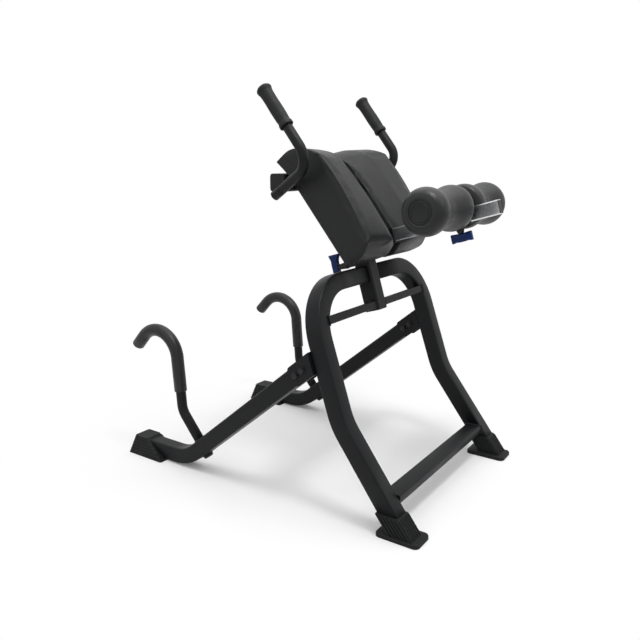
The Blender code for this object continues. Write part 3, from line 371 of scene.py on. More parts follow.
# Each finish's material and its slot. Two finishes share a slot twice: the later one is the solids' own
FINISHES = {
    "coat": ("matt_powder_coat", "black_powder_coat"),
    "vinyl": ("embossed_upholstery_vinyl", "black_vinyl"),
    "foam": ("closed_cell_foam", "black_foam"),
    "grip": ("textured_grip_rubber", "black_moulded_rubber"),
    "rubber": ("moulded_rubber", "black_moulded_rubber"),
    "plastic": ("grained_polypropylene", "black_plastic"),
    "knob": ("glossy_blue_abs", "blue_plastic"),
    "chrome": ("bright_chrome_plate", "chrome"),
    "oxide": ("oiled_black_oxide", "zinc_plated_steel"),
    "zinc": ("bright_zinc_plate", "zinc_plated_steel"),
    "plywood": ("raw_birch_plywood", "plywood"),
}


def material_of(finish):
    """A finish's material. All of them are made at the first call."""
    made = bpy.data.materials
    if "matt_powder_coat" not in made:
        colours = bpy.context.scene.trainer_colours
        for row in GRAINED:
            grained_finish(colours, *row)
        for maker in (upholstery_vinyl, closed_cell_foam, grip_rubber):
            maker(colours)
        for maker in (chrome_plate, zinc_plate, black_oxide, birch_plywood):
            maker()
    return made[FINISHES[finish][0]]


def placed(name, data):
    """A new object in the scene's collection."""
    thing = bpy.data.objects.new(name, data)
    bpy.context.scene.collection.objects.link(thing)
    return thing


def mesh_of(name, shape):
    """A mesh from a bmesh, which is freed."""
    mesh = bpy.data.meshes.new(name)
    shape.to_mesh(mesh)
    shape.free()
    return mesh


def evaluated(thing):
    """A new mesh of an object as its modifiers or bevel shape it."""
    graph = bpy.context.evaluated_depsgraph_get()
    graph.update()
    return bpy.data.meshes.new_from_object(thing.evaluated_get(graph))


def bevelled(shape, geom, offset, segments, affect="EDGES", clamp=False):
    """Rounds edges or corners."""
    bmesh.ops.bevel(shape, geom=geom, offset=offset, segments=segments, profile=0.5, affect=affect,
                    material=-1, offset_type="OFFSET", clamp_overlap=clamp)


def sliced(shape, place, normal, clear=False):
    """Cuts a bmesh along a plane, and clears what lies beyond it where that is asked."""
    everything = shape.verts[:] + shape.edges[:] + shape.faces[:]
    bmesh.ops.bisect_plane(shape, geom=everything, dist=0.00001, plane_co=place, plane_no=normal,
                           clear_outer=clear)


def box(shape, size, matrix):
    """Adds a box of a size, placed by a matrix."""
    bmesh.ops.create_cube(shape, size=1.0, matrix=matrix @ Matrix.Diagonal((*size, 1.0)))


def edges_along(shape, axis, least):
    """The edges that run along an axis for more than a length."""
    return [e for e in shape.edges if abs((e.verts[0].co - e.verts[1].co)[axis]) > least]


def edges_above(shape, height):
    """The edges that lie above a height."""
    return [e for e in shape.edges if min(v.co.z for v in e.verts) > height]


def to_side(side, point):
    """A point of the right side, or its mirror image on the left."""
    return Vector((side * point.x, point.y, point.z))


def new_piece(name, shape, finish, body, angle):
    """A piece from a finished bmesh: it gets its finish and its body."""
    mesh = mesh_of(name, shape)
    mesh.shade_smooth()
    mesh.set_sharp_from_angle(angle=math.radians(angle))
    mesh.materials.append(material_of(finish))
    piece = placed(name, mesh)
    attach(piece, body)
    return piece


def modify(piece, name, kind, **settings):
    """Adds a modifier with its settings."""
    modifier = piece.modifiers.new(name, kind)
    for key, value in settings.items():
        setattr(modifier, key, value)


def tidy(shape):
    """Merges doubles and turns the faces outwards."""
    bmesh.ops.remove_doubles(shape, verts=shape.verts, dist=0.00001)
    shape.normal_update()
    bmesh.ops.recalc_face_normals(shape, faces=shape.faces)
    return shape


def turned(profile, matrix, steps, shape=None):
    """Adds a profile of radius and height spun about the matrix's Z axis to a bmesh."""
    target = shape or bmesh.new()
    part = bmesh.new()
    verts = [part.verts.new((radius, 0.0, height)) for radius, height in profile]
    edges = [part.edges.new(pair) for pair in zip(verts, verts[1:])]
    bmesh.ops.spin(part, geom=verts + edges, axis=(0.0, 0.0, 1.0), cent=(0.0, 0.0, 0.0), steps=steps,
                   angle=2 * math.pi, use_merge=True)
    tidy(part)
    part.transform(matrix)
    return join(target, part)


def join(target, part):
    """Adds a bmesh to another and frees it."""
    mesh = mesh_of("joined", part)
    target.from_mesh(mesh)
    bpy.data.meshes.remove(mesh)
    return target


def rounded(profile, radii, steps=4):
    """A profile with its corners rounded by their radii."""
    points = [Vector(point) for point in profile]
    path = []
    for index, point in enumerate(points):
        radius = radii.get(index, 0.0)
        if radius == 0.0:
            path.append(tuple(point))
            continue
        before = points[index - 1] - point
        after = points[index + 1] - point
        reach = min(radius, before.length * 0.49, after.length * 0.49)
        start = point + before.normalized() * reach
        end = point + after.normalized() * reach
        for step in range(steps + 1):
            share = step / steps
            low = start.lerp(point, share)
            high = point.lerp(end, share)
            path.append(tuple(low.lerp(high, share)))
    return path


def pad_place(across, along, depth):
    """Where a point of a pad's form lies, for its shares across, along and through the pad."""
    outer = max(0.0, (across - PAD_CREASE) / (1.0 - PAD_CREASE))
    inner = max(0.0, (PAD_CREASE - across) / PAD_CREASE)
    top = PAD_LENGTH - 0.072 * max(0.0, (depth - 0.35) / 0.65) ** 1.8
    foot = -0.030 - 0.012 * min(depth * 2.0, 1.0) + (0.012 + 0.010 * outer) * max(0.0, depth * 2.0 - 1.0)
    # The front lies lower towards the crease, falls off inside it, and thins at its lower outer corner
    valley = 0.011 * min((1.0 - across) / 0.68, 1.0) + 0.037 * inner
    valley += 0.024 * outer * max(0.0, (0.8 - along) / 0.8) ** 1.5
    crown = 0.005 * math.sin(math.pi * min(max(along, 0.0), 1.0))
    out = (PAD_THICK + crown - valley) * depth
    out -= 0.011 * max(0.0, (along - 0.90) / 0.10) * (1.0 - depth)
    pull = 0.004 * math.sin(math.pi * depth) * math.sin(math.pi * along)
    x = PAD_INNER + (PAD_OUTER - PAD_INNER) * across + pull * (1.0 - 2.0 * across)
    return x, foot + (top - foot) * along, out


def pad_form(side):
    """The pad's crowned form: a block sliced along its creases, and moved into place."""
    cuts = ((0.03, 0.17, 0.35, 0.37, 0.50, 0.64, 0.80, 0.92, 0.975),
            (0.025, 0.14, 0.28, 0.40, 0.52, 0.64, 0.76, 0.86, 0.98),
            (0.05, 0.20, 0.36, 0.52, 0.68, 0.84, 0.955))
    shape = bmesh.new()
    bmesh.ops.create_cube(shape, size=1.0, matrix=Matrix.Translation((0.5, 0.5, 0.5)))
    for axis, places in enumerate(cuts):
        normal = Vector([float(other == axis) for other in range(3)])
        for place in places:
            sliced(shape, normal * place, normal)
    for vert in shape.verts:
        x, place, out = pad_place(*vert.co)
        vert.co = pad_point(side * x, place, out)
    return tidy(shape)


def applied(piece):
    """Applies a piece's modifiers to its mesh."""
    mesh = evaluated(piece)
    old = piece.data
    piece.modifiers.clear()
    piece.data = mesh
    mesh.name = old.name
    bpy.data.meshes.remove(old)
    return piece


def swell(piece, sizes):
    """Fills a pad: cloth under pressure, with its back held by the board, and its travel capped."""
    back = piece.vertex_groups.new(name="back")
    held = [v.index for v in piece.data.vertices if (v.co - PAD_CORNER).dot(PAD_OUT) < 0.016]
    back.add(held, 1.0, "REPLACE")
    start = [v.co.copy() for v in piece.data.vertices]
    cloth = piece.modifiers.new("filling", "CLOTH")
    for name, value in (("vertex_group_mass", "back"), ("use_pressure", True),
                        ("uniform_pressure_force", sizes.pressure), ("tension_stiffness", 25.0),
                        ("compression_stiffness", 25.0), ("bending_stiffness", 4.0)):
        setattr(cloth.settings, name, value)
    cloth.settings.effector_weights.gravity = 0.0
    scene = bpy.context.scene
    for number in range(1, 21):
        scene.frame_set(number)
    applied(piece)
    scene.frame_set(1)
    for vert, old in zip(piece.data.vertices, start):
        travel = vert.co - old
        if travel.length > sizes.pad_swell:
            vert.co = old + travel.normalized() * sizes.pad_swell
    return piece


def filleted(points, radii, steps):
    """A path through points, with its corners rounded by their radii."""
    path = []
    for index, point in enumerate(points):
        if radii[index] == 0.0:
            path.append(point.copy())
            continue
        before = (points[index - 1] - point).normalized()
        after = (points[index + 1] - point).normalized()
        half = before.angle(after) / 2
        centre = point + (before + after).normalized() * (radii[index] / math.sin(half))
        first = point + before * (radii[index] / math.tan(half)) - centre
        last = point + after * (radii[index] / math.tan(half)) - centre
        axis = first.cross(last).normalized()
        for step in range(steps + 1):
            path.append(centre + Matrix.Rotation(first.angle(last) * step / steps, 3, axis) @ first)
    return path


def square_section():
    """The rounded square outline of the frame's tube, as a curve object."""
    flat = bpy.data.curves.new("section", "CURVE")
    flat.dimensions = "2D"
    outline = flat.splines.new("POLY")
    reach = TUBE / 2 - TUBE_CORNER
    places = []
    for x, y, start in ((1, 1, 0), (-1, 1, 90), (-1, -1, 180), (1, -1, 270)):
        for step in range(5):
            angle = math.radians(start + 22.5 * step)
            places.append((x * reach + TUBE_CORNER * math.cos(angle),
                           y * reach + TUBE_CORNER * math.sin(angle)))
    outline.points.add(len(places) - 1)
    for point, place in zip(outline.points, places):
        point.co = (*place, 0.0, 1.0)
    outline.use_cyclic_u = True
    return placed("section", flat)


def tube_along(name, path, body, radius=0.0, tilt=0.0):
    """A painted open tube along a path: round where it has a radius, else the frame's rounded square."""
    curve = bpy.data.curves.new(name, "CURVE")
    curve.dimensions = "3D"
    curve.twist_mode = "MINIMUM"
    spline = curve.splines.new("POLY")
    spline.points.add(len(path) - 1)
    for point, place in zip(spline.points, path):
        point.co = (*place, 1.0)
        point.tilt = tilt
    curve.bevel_depth = radius
    curve.bevel_resolution = 10
    holder = placed(name, curve)
    section = None
    if radius == 0.0:
        section = square_section()
        curve.bevel_mode = "OBJECT"
        curve.bevel_object = section
    mesh = evaluated(holder)
    shape = bmesh.new()
    shape.from_mesh(mesh)
    bpy.data.meshes.remove(mesh)
    bpy.data.objects.remove(holder)
    if section:
        bpy.data.objects.remove(section)
    piece = new_piece(name, tidy(shape), "coat", body, 30.0)
    modify(piece, "wall", "SOLIDIFY", thickness=TUBE_WALL, offset=-1.0, use_even_offset=True)
    return applied(piece)


def cut_box(piece, name, size, matrix, corner=0.0):
    """Cuts a box, with its upright edges rounded, out of a piece."""
    shape = bmesh.new()
    box(shape, size, Matrix.Identity(4))
    if corner > 0.0:
        bevelled(shape, edges_along(shape, 2, size[2] / 2), corner, 4)
    shape.transform(matrix)
    cutter = placed(name, mesh_of(name, tidy(shape)))
    modify(piece, name, "BOOLEAN", operation="DIFFERENCE", object=cutter, solver="EXACT")
    applied(piece)
    bpy.data.meshes.remove(cutter.data)  # takes the cutter with it
    return piece


class TRAINER_OT_arch(bpy.types.Operator):
    """Bends the arch, with the wide corners of its top bar and the notch for the sleeve"""

    bl_idname = "trainer.arch"
    bl_label = "Arch"

    def execute(self, context):
        mirrored = [to_side(-1, point) for point in reversed(ARCH_HALF)]
        path = filleted(list(ARCH_HALF) + mirrored,
                        (0.0, ARCH_KNEE, ARCH_CORNER, ARCH_CORNER, ARCH_KNEE, 0.0), 16)
        first = (path[1] - path[0]).normalized()
        tilt = math.atan2(first.x * first.z, first.y)
        piece = tube_along("arch_bent_tube", path, "base", tilt=tilt)
        cut_box(piece, "notch", NOTCH, frame_at(mast_point(0.0, 0.0, 0.10), MAST_UP, ACROSS))
        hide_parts("arch_tube")
        return {"FINISHED"}


class TRAINER_OT_step(bpy.types.Operator):
    """Makes the flat step bar that lies level between the front feet"""

    bl_idname = "trainer.step"
    bl_label = "Step bar"

    def execute(self, context):
        shape = bmesh.new()
        box(shape, (2 * STEP_HALF, STEP_DEEP, STEP_TALL), Matrix.Translation(STEP_CENTRE))
        bevelled(shape, edges_along(shape, 0, 0.1), 0.004, 5)
        piece = new_piece("step_tube", tidy(shape), "coat", "base", 30.0)
        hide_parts("step_bar")
        return {"FINISHED"}


class TRAINER_OT_handle_tubes(bpy.types.Operator):
    """Bends the tubes of the upper handles"""

    bl_idname = "trainer.handle_tubes"
    bl_label = "Upper handle tubes"

    def execute(self, context):
        for side, word in SIDES:
            path = filleted([to_side(side, point) for point in HANDLE_PATH],
                            (0.0, HANDLE_BEND, HANDLE_BEND, 0.0), 12)
            piece = tube_along("handle_bent_tube_" + word, path, "carriage", radius=HANDLE_TUBE)
            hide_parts("handle_tube_" + word)
        return {"FINISHED"}


class TRAINER_OT_front_boots(bpy.types.Operator):
    """Moulds the front boots: a foot plate with a ribbed socket that leans with the leg"""

    bl_idname = "trainer.front_boots"
    bl_label = "Front boots"

    def execute(self, context):
        rib, rib_line, rib_top = (0.0040, 0.0056), 0.0273, RIM_HEIGHT - 0.003
        for side, word in SIDES:
            shape = bmesh.new()
            box(shape, PLATE_SIZE, Matrix.Translation(to_side(side, PLATE_CENTRE)))
            bevelled(shape, edges_along(shape, 2, 0.005), 0.015, 8)
            bevelled(shape, edges_above(shape, 0.010), 0.0035, 3)
            lean = frame_at(to_side(side, ARCH_HALF[0]), LEG_UP, ACROSS)
            self.block(shape, lean, (SOCKET, SOCKET), (0.0, 0.0), RIM_HEIGHT)
            for number in range(6):
                along = (number - 2.5) * 0.0092
                for way in (1, -1):
                    self.block(shape, lean, rib, (way * rib_line, along), rib_top)
                    self.block(shape, lean, rib[::-1], (along, way * rib_line), rib_top)
            piece = new_piece("front_boot_moulding_" + word, tidy(shape), "rubber", "base", 35.0)
            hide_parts("front_boot_" + word)
        return {"FINISHED"}

    def block(self, shape, lean, size, place, top):
        """A block that leans with the leg, cut level at the plate and at its top, with soft edges."""
        part = bmesh.new()
        box(part, (*size, 0.20), lean @ Matrix.Translation((*place, 0.02)))
        for height, normal in ((0.006, -UP), (top, UP)):
            sliced(part, UP * height, normal, clear=True)
            bmesh.ops.contextual_create(part, geom=[e for e in part.edges if e.is_boundary])
        tidy(part)
        soft = [e for e in part.edges if max(v.co.z for v in e.verts) > 0.010]
        narrow = min(size)
        bevelled(part, soft, narrow * 0.22 if narrow < 0.01 else 0.0015, 2, clamp=True)
        join(shape, part)


class TRAINER_OT_hip_pads(bpy.types.Operator):
    """Sews and fills the two hip pads"""

    bl_idname = "trainer.hip_pads"
    bl_label = "Hip pads"

    def execute(self, context):
        sizes = context.scene.trainer_sizes
        for side, word in SIDES:
            piece = new_piece("hip_pad_" + word, pad_form(side), "vinyl", "carriage", 60.0)
            modify(piece, "round", "SUBSURF", levels=2, render_levels=2)
            applied(piece)
            swell(piece, sizes)
            modify(piece, "soften", "SMOOTH", factor=0.5, iterations=2)
            modify(piece, "fine", "SUBSURF", levels=1, render_levels=1)
            applied(piece)
            # The recess of the board, so that the cover wraps round its rim
            middle = pad_point(side * POCKET_MIDDLE, PAD_LENGTH / 2, BOARD_DEPTH / 2 - 0.02)
            size = (POCKET_WIDTH, PAD_LENGTH - 0.0394, BOARD_DEPTH + 0.04)
            cut_box(piece, "pocket", size, frame_at(middle, PAD_OUT, ACROSS), 0.012)
            piece.data.shade_smooth()
            piece.data.set_sharp_from_angle(angle=math.radians(60.0))
            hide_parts("pad_" + word)
        return {"FINISHED"}


class TRAINER_OT_rollers(bpy.types.Operator):
    """Turns the foam rollers and their end caps"""

    bl_idname = "trainer.rollers"
    bl_label = "Foam rollers"

    def execute(self, context):
        sizes = context.scene.trainer_sizes
        length = BALL_END - ROLLER_INNER
        mean = (sizes.bulge + sizes.waist) / 2
        swing = (sizes.bulge - sizes.waist) / 2
        bore, recess, dome = 0.0128, 0.0313, 0.036
        # The foam's skin, from the rounded ball end to the slim inner end
        foam = [(recess, length - 0.0012), (0.0328, length - 0.0002)]
        for index in range(14):
            share = math.cos(math.pi / 2 * index / 14)
            foam.append((dome + (sizes.bulge - dome) * math.sqrt(1.0 - share * share),
                         length + (BALL_END - BALL) * (share - 1.0)))
        for index in range(37):
            across = BALL + (ROLLER_INNER - BALL) * index / 36
            soft = 0.0042 * max(0.0, 1.0 - (across - ROLLER_INNER) / 0.009) ** 2
            turn = math.cos(math.pi * (across - WAIST) / (BALL - WAIST))
            foam.append((mean - swing * turn - soft, across - ROLLER_INNER))
        foam += [(bore, 0.0), (bore, length - 0.0075), (recess, length - 0.0075), (recess, length - 0.0012)]
        top = length - 0.0008
        cap = [(0.0, top - 0.0010), (0.0170, top - 0.0008), (0.0226, top), (0.0236, top - 0.0009),
               (0.0248, top - 0.0009), (0.0258, top), (0.0292, top - 0.0002), (0.0306, top - 0.0010),
               (0.0310, top - 0.0024), (0.0310, length - 0.0072), (0.0, length - 0.0072)]
        core = [(0.0125, length - 0.0078), (0.0125, -0.0003), (0.0186, -0.0003), (0.0190, -0.0009),
                (0.0190, -0.0030), (0.0186, -0.0036), (0.0063, -0.0036), (0.0063, length - 0.0078),
                (0.0125, length - 0.0078)]
        # Name, profile, finish, steps round, sharp angle and the solid that it stands for
        rows = (("skin", foam, "foam", sizes.turns, 50.0, "foam"),
                ("disc", cap, "plastic", sizes.turns, 40.0, "cap"),
                ("tube", core, "plastic", 48, 40.0, "core"))
        for side, word in SIDES:
            matrix = frame_at(AXLE + ACROSS * side * ROLLER_INNER, ACROSS * side, BACK)
            for name, profile, finish, steps, angle, solid in rows:
                shape = turned(profile, matrix, steps)
                piece = new_piece("roller_" + name + "_" + word, tidy(shape), finish, "roller_" + word, angle)
                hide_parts("roller_" + solid + "_" + word)
        half = BALL_END - 0.0085
        rod = [(0.0, half), (0.0054, half), (0.0060, half - 0.0006), (0.0060, 0.0006 - half),
               (0.0054, -half), (0.0, -half)]
        shape = turned(rod, frame_at(AXLE, ACROSS, BACK), 32)
        piece = new_piece("axle_rod", tidy(shape), "zinc", "slider", 40.0)
        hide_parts("roller_axle")
        return {"FINISHED"}


class TRAINER_OT_hook_foams(bpy.types.Operator):
    """Bends the hooked handles: the foam sleeves and the tubes inside them"""

    bl_idname = "trainer.hook_foams"
    bl_label = "Hooked handles"

    def execute(self, context):
        radius = context.scene.trainer_sizes.hook_foam
        mouth = radius - 0.0026
        bore = 0.0159
        rise = HOOK_RISE.normalized()
        turn = Matrix.Rotation(-HOOK_SWEEP, 3, ACROSS)
        fall = turn @ UP
        for side, word in SIDES:
            centre = to_side(side, HOOK_CENTRE)
            top = centre - BACK * HOOK_RADIUS
            foot = top - rise * ((top.z - FOAM_FOOT) / rise.z)
            shape = bmesh.new()
            bmesh.ops.create_circle(shape, segments=32, radius=mouth, matrix=frame_at(foot, rise, ACROSS))
            first = shape.edges[:]
            edges, middle = stepped(shape, first, foot, rise, ((0.0010, 0.0016), (0.0016, 0.0010)))
            edges, verts = extruded(shape, edges)
            bmesh.ops.translate(shape, verts=verts, vec=top - middle)
            done = bmesh.ops.spin(shape, geom=verts + edges, cent=centre, axis=ACROSS, angle=-HOOK_SWEEP,
                                  steps=32, use_merge=False)["geom_last"]
            edges = [item for item in done if isinstance(item, bmesh.types.BMEdge)]
            edges, middle = stepped(shape, edges, centre + turn @ (top - centre), fall, (
                (HOOK_STRAIGHT, 0.0), (0.0016, -0.0010), (0.0009, -0.0022), (0.0004, -0.0050)))
            bmesh.ops.contextual_create(shape, geom=edges)
            lip, verts = extruded(shape, first)
            widen(shape, verts, foot, bore - mouth)
            inside, verts = extruded(shape, lip)
            bmesh.ops.translate(shape, verts=verts, vec=rise * 0.02)
            bmesh.ops.contextual_create(shape, geom=inside)
            piece = new_piece("hook_foam_" + word, tidy(shape), "foam", "base", 50.0)
            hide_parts("j_handle_foam_" + word)
            seat = to_side(side, HOOK_SEAT)
            path = filleted([seat - HOOK_ENTRY * 0.031, seat + HOOK_ENTRY * 0.133, top],
                            (0.0, HOOK_BEND, 0.0), 10)
            path += [centre + Matrix.Rotation(-HOOK_SWEEP * step / 24, 3, ACROSS) @ (top - centre)
                     for step in range(1, 25)]
            path.append(path[-1] + fall * (HOOK_STRAIGHT - 0.006))
            piece = tube_along("hook_tube_" + word, path, "base", radius=HOOK_TUBE)
            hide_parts("j_handle_tube_" + word)
        return {"FINISHED"}


def stepped(shape, edges, middle, along, steps):
    """Extrudes a ring in steps, each with its growth in radius; gives the last ring and its middle."""
    for step, grow in steps:
        edges, verts = extruded(shape, edges)
        bmesh.ops.translate(shape, verts=verts, vec=along * step)
        middle = middle + along * step
        widen(shape, verts, middle, grow)
    return edges, middle


def extruded(shape, edges):
    """Extrudes edges in place and returns the new edges and vertices."""
    made = bmesh.ops.extrude_edge_only(shape, edges=edges)["geom"]
    new_edges = [item for item in made if isinstance(item, bmesh.types.BMEdge)]
    verts = [item for item in made if isinstance(item, bmesh.types.BMVert)]
    loops = [e for e in new_edges if e.verts[0] in verts and e.verts[1] in verts]
    return loops, verts


def widen(shape, verts, middle, grow):
    """Moves a ring of vertices away from its middle by a distance."""
    for vert in verts:
        away = vert.co - middle
        bmesh.ops.translate(shape, verts=[vert], vec=away.normalized() * grow)


class TRAINER_OT_grips(bpy.types.Operator):
    """Moulds the grips of the upper handles"""

    bl_idname = "trainer.grips"
    bl_label = "Handle grips"

    def execute(self, context):
        sizes = context.scene.trainer_sizes
        profile = rounded([
            (0.0, 0.1280), (0.0165, 0.1276), (0.0216, 0.1225), (0.0212, 0.1170), (0.0192, 0.1120),
            (0.0182, 0.1020), (0.0178, 0.0800), (0.0186, 0.0550), (0.0182, 0.0300), (0.0172, 0.0140),
            (0.0190, 0.0100), (0.0197, 0.0060), (0.0195, 0.0010), (0.0182, 0.0), (0.0146, 0.0),
            (0.0146, 0.1193), (0.0, 0.1193)],
            {2: 0.003, 3: 0.003, 4: 0.004, 5: 0.01, 6: 0.01, 7: 0.012, 8: 0.01, 9: 0.004, 10: 0.003,
             11: 0.003, 12: 0.002})
        for side, word in SIDES:
            rise = (HANDLE_TIP - GRIP_FOOT).normalized()
            shape = turned(profile, frame_at(to_side(side, GRIP_FOOT), rise, ACROSS), sizes.turns)
            piece = new_piece("grip_" + word, tidy(shape), "grip", "carriage", 40.0)
            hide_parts("handle_grip_" + word)
        return {"FINISHED"}


class TRAINER_OT_bolts(bpy.types.Operator):
    """Makes the bracket bolts with their hexagon heads, washers and nuts"""

    bl_idname = "trainer.bolts"
    bl_label = "Bracket bolts"

    def execute(self, context):
        for side, word in SIDES:
            for number in (1, 2):
                name = "leg_bolt_{}_{}".format(number, word)
                low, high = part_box(name)
                y, z = (low[1] + high[1]) / 2, (low[2] + high[2]) / 2
                shape = bmesh.new()
                for place, way, height in ((BOLT_HEAD, side, 0.0046), (BOLT_NUT, -side, 0.0072)):
                    seat = Vector((side * place, y, z))
                    self.hexagon(shape, seat + ACROSS * (way * 0.0015), ACROSS * way, BOLT_ACROSS, height)
                    turned([(0.0052, 0.0014), (0.0102, 0.0014), (0.0108, 0.0009), (0.0108, 0.0002),
                            (0.0052, 0.0002), (0.0052, 0.0014)], frame_at(seat, ACROSS * way, UP), 32, shape)
                turned([(0.0, 0.0115), (0.0040, 0.0115), (0.0048, 0.0107), (0.0048, 0.0)],
                       frame_at(seat, -ACROSS * side, UP), 24, shape)
                turned([(0.0050, BOLT_HEAD - BOLT_NUT), (0.0050, 0.0)], frame_at(seat, ACROSS * side, UP), 24,
                       shape)
                piece = new_piece("bracket_" + name, shape, "oxide", "base", 30.0)
                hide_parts(name)
        return {"FINISHED"}

    def hexagon(self, shape, start, along, radius, height):
        """A hexagon head or nut with its corners turned off."""
        part = bmesh.new()
        bmesh.ops.create_cone(part, cap_ends=True, segments=6, radius1=radius * 1.12, radius2=radius * 1.12,
                              depth=height, matrix=Matrix.Translation((0.0, 0.0, height / 2)))
        bevelled(part, edges_above(part, height * 0.9), 0.0011, 2)
        tidy(part)
        part.transform(frame_at(start, along, UP))
        join(shape, part)


class TRAINER_OT_knobs(bpy.types.Operator):
    """Moulds the blue bars of the clamp knobs"""

    bl_idname = "trainer.knobs"
    bl_label = "Clamp knobs"

    def execute(self, context):
        # Name, seat, axis, the bar's direction, its start and end along the axis, its length, and how its
        # foot and its top lie in the middle and at the ends, as shares of its height
        places = (
            ("mast_knob", mast_point(0.0, 0.0, 0.150), MAST_BACK, MAST_UP, 0.0920, 0.1180, 0.082,
             (0.30, -0.42, 0.72, 1.16)),
            ("roller_knob", mast_point(0.0, -0.315, 0.201), -MAST_UP, -MAST_BACK, 0.0420, 0.0665, 0.060,
             (0.0, -0.08, 0.82, 1.02)),
        )
        wide = 0.016
        for name, seat, axis, along, start, end, length, flare in places:
            height = end - start - 0.0006
            matrix = frame_at(seat + axis * (start + 0.0004), axis, along)
            shape = bmesh.new()
            bmesh.ops.create_cube(shape, size=1.0, matrix=Matrix.Translation((0.0, 0.0, 0.5)))
            for place in (-0.40, -0.28, -0.14, 0.14, 0.28, 0.40):
                sliced(shape, ACROSS * place, ACROSS)
            for vert in shape.verts:
                reach = abs(vert.co.x) * 2
                spread = max(0.0, (reach - 0.20) / 0.80)
                low = flare[0] + (flare[1] - flare[0]) * spread
                high = flare[2] + (flare[3] - flare[2]) * spread
                tall = low + (high - low) * vert.co.z
                waist = 1.0 - 0.16 * reach ** 2
                vert.co = Vector((vert.co.x * length, vert.co.y * wide * waist, height * tall))
            corners = [e for e in shape.edges if len(e.link_faces) == 2
                       and e.link_faces[0].normal.angle(e.link_faces[1].normal, 0.0) > 1.0]
            bevelled(shape, corners, 0.0032, 4, clamp=True)
            bmesh.ops.recalc_face_normals(shape, faces=shape.faces)
            shape.transform(matrix)
            piece = new_piece(name + "_wings", tidy(shape), "knob", name, 40.0)
            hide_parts(name + "_bar")
        return {"FINISHED"}


class TRAINER_OT_welds(bpy.types.Operator):
    """Lays the weld beads where tubes meet"""

    bl_idname = "trainer.welds"
    bl_label = "Weld beads"

    def execute(self, context):
        size = context.scene.trainer_sizes.weld
        shape = bmesh.new()
        for side in (1, -1):
            end = STEP_CENTRE + ACROSS * (side * (STEP_HALF + 0.0002))
            self.bead(shape, frame_at(end, -ACROSS * side, UP), STEP_TALL, STEP_DEEP, 0.004, size)
        for side, word in SIDES:
            low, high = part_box("upper_crossbar_" + word)
            middle = Vector((0.0, (low[1] + high[1]) / 2, (low[2] + high[2]) / 2))
            near, far = sorted((abs(low[0]), abs(high[0])))
            end = middle + ACROSS * (side * (far + 0.0010))
            self.bead(shape, frame_at(end, -ACROSS * side, ARCH_LEAN), CROSSBAR, CROSSBAR, 0.003, size * 1.3)
            start = middle + ACROSS * (side * near)
            self.bead(shape, frame_at(start, ACROSS * side, ARCH_LEAN), CROSSBAR, CROSSBAR, 0.003, size * 0.9)
        new_piece("frame_weld_beads", tidy(shape), "coat", "base", 60.0)
        shape = bmesh.new()
        for side in (1, -1):
            for way in (1, -1):
                start = to_side(side, HOOK_SEAT) + HOOK_ENTRY * (way * TUBE / 2)
                self.collar(shape, frame_at(start, HOOK_ENTRY * way, ACROSS), HOOK_TUBE, size)
        new_piece("handle_weld_beads", tidy(shape), "coat", "base", 60.0)
        return {"FINISHED"}

    def bead(self, shape, matrix, width, height, corner, size):
        """A fillet of weld round a square tube's end, growing along the matrix's Z axis."""
        part = bmesh.new()
        bmesh.ops.create_grid(part, x_segments=1, y_segments=1, size=0.5)
        bmesh.ops.transform(part, matrix=Matrix.Diagonal((width, height, 1.0, 1.0)), verts=part.verts)
        bevelled(part, part.verts[:], corner, 4, affect="VERTICES")
        bmesh.ops.delete(part, geom=part.faces[:], context="FACES_ONLY")
        self.fillet(part, size, width, height)
        part.transform(matrix)
        join(shape, part)

    def collar(self, shape, matrix, radius, size):
        """A fillet of weld round a round tube, growing along the matrix's Z axis."""
        part = bmesh.new()
        bmesh.ops.create_circle(part, segments=32, radius=radius)
        self.fillet(part, size, radius * 2, radius * 2)
        part.transform(matrix)
        join(shape, part)

    def fillet(self, part, size, width, height):
        """Sweeps a small hollow triangle along an outline that lies flat."""
        edges = part.edges[:]
        first = edges[:]
        done = 0.0
        for out, up in ((size, 0.0), (size * 0.78, size * 0.30), (size * 0.36, size * 0.70), (0.0, size)):
            edges, verts = extruded(part, edges)
            bmesh.ops.scale(part, verts=verts, vec=((width + 2 * out) / (width + 2 * done),
                                                    (height + 2 * out) / (height + 2 * done), 1.0))
            for vert in verts:
                vert.co.z = up + 0.0003
            done = out
        bmesh.ops.bridge_loops(part, edges=edges + first)
        tidy(part)


class TRAINER_OT_frame_finish(bpy.types.Operator):
    """Gives each solid of the frame its finish"""

    bl_idname = "trainer.frame_finish"
    bl_label = "Frame finishes"

    def execute(self, context):
        by_slot = {names[1]: finish for finish, names in FINISHES.items()}
        for entry in frame["record"]["subparts"]:
            solid = frame["nodes"][entry["node"]]
            material = material_of(by_slot[entry["material_slot"]])
            if not solid.material_slots:
                solid.data.materials.append(material)
            for place in solid.material_slots:
                place.material = material
        return {"FINISHED"}


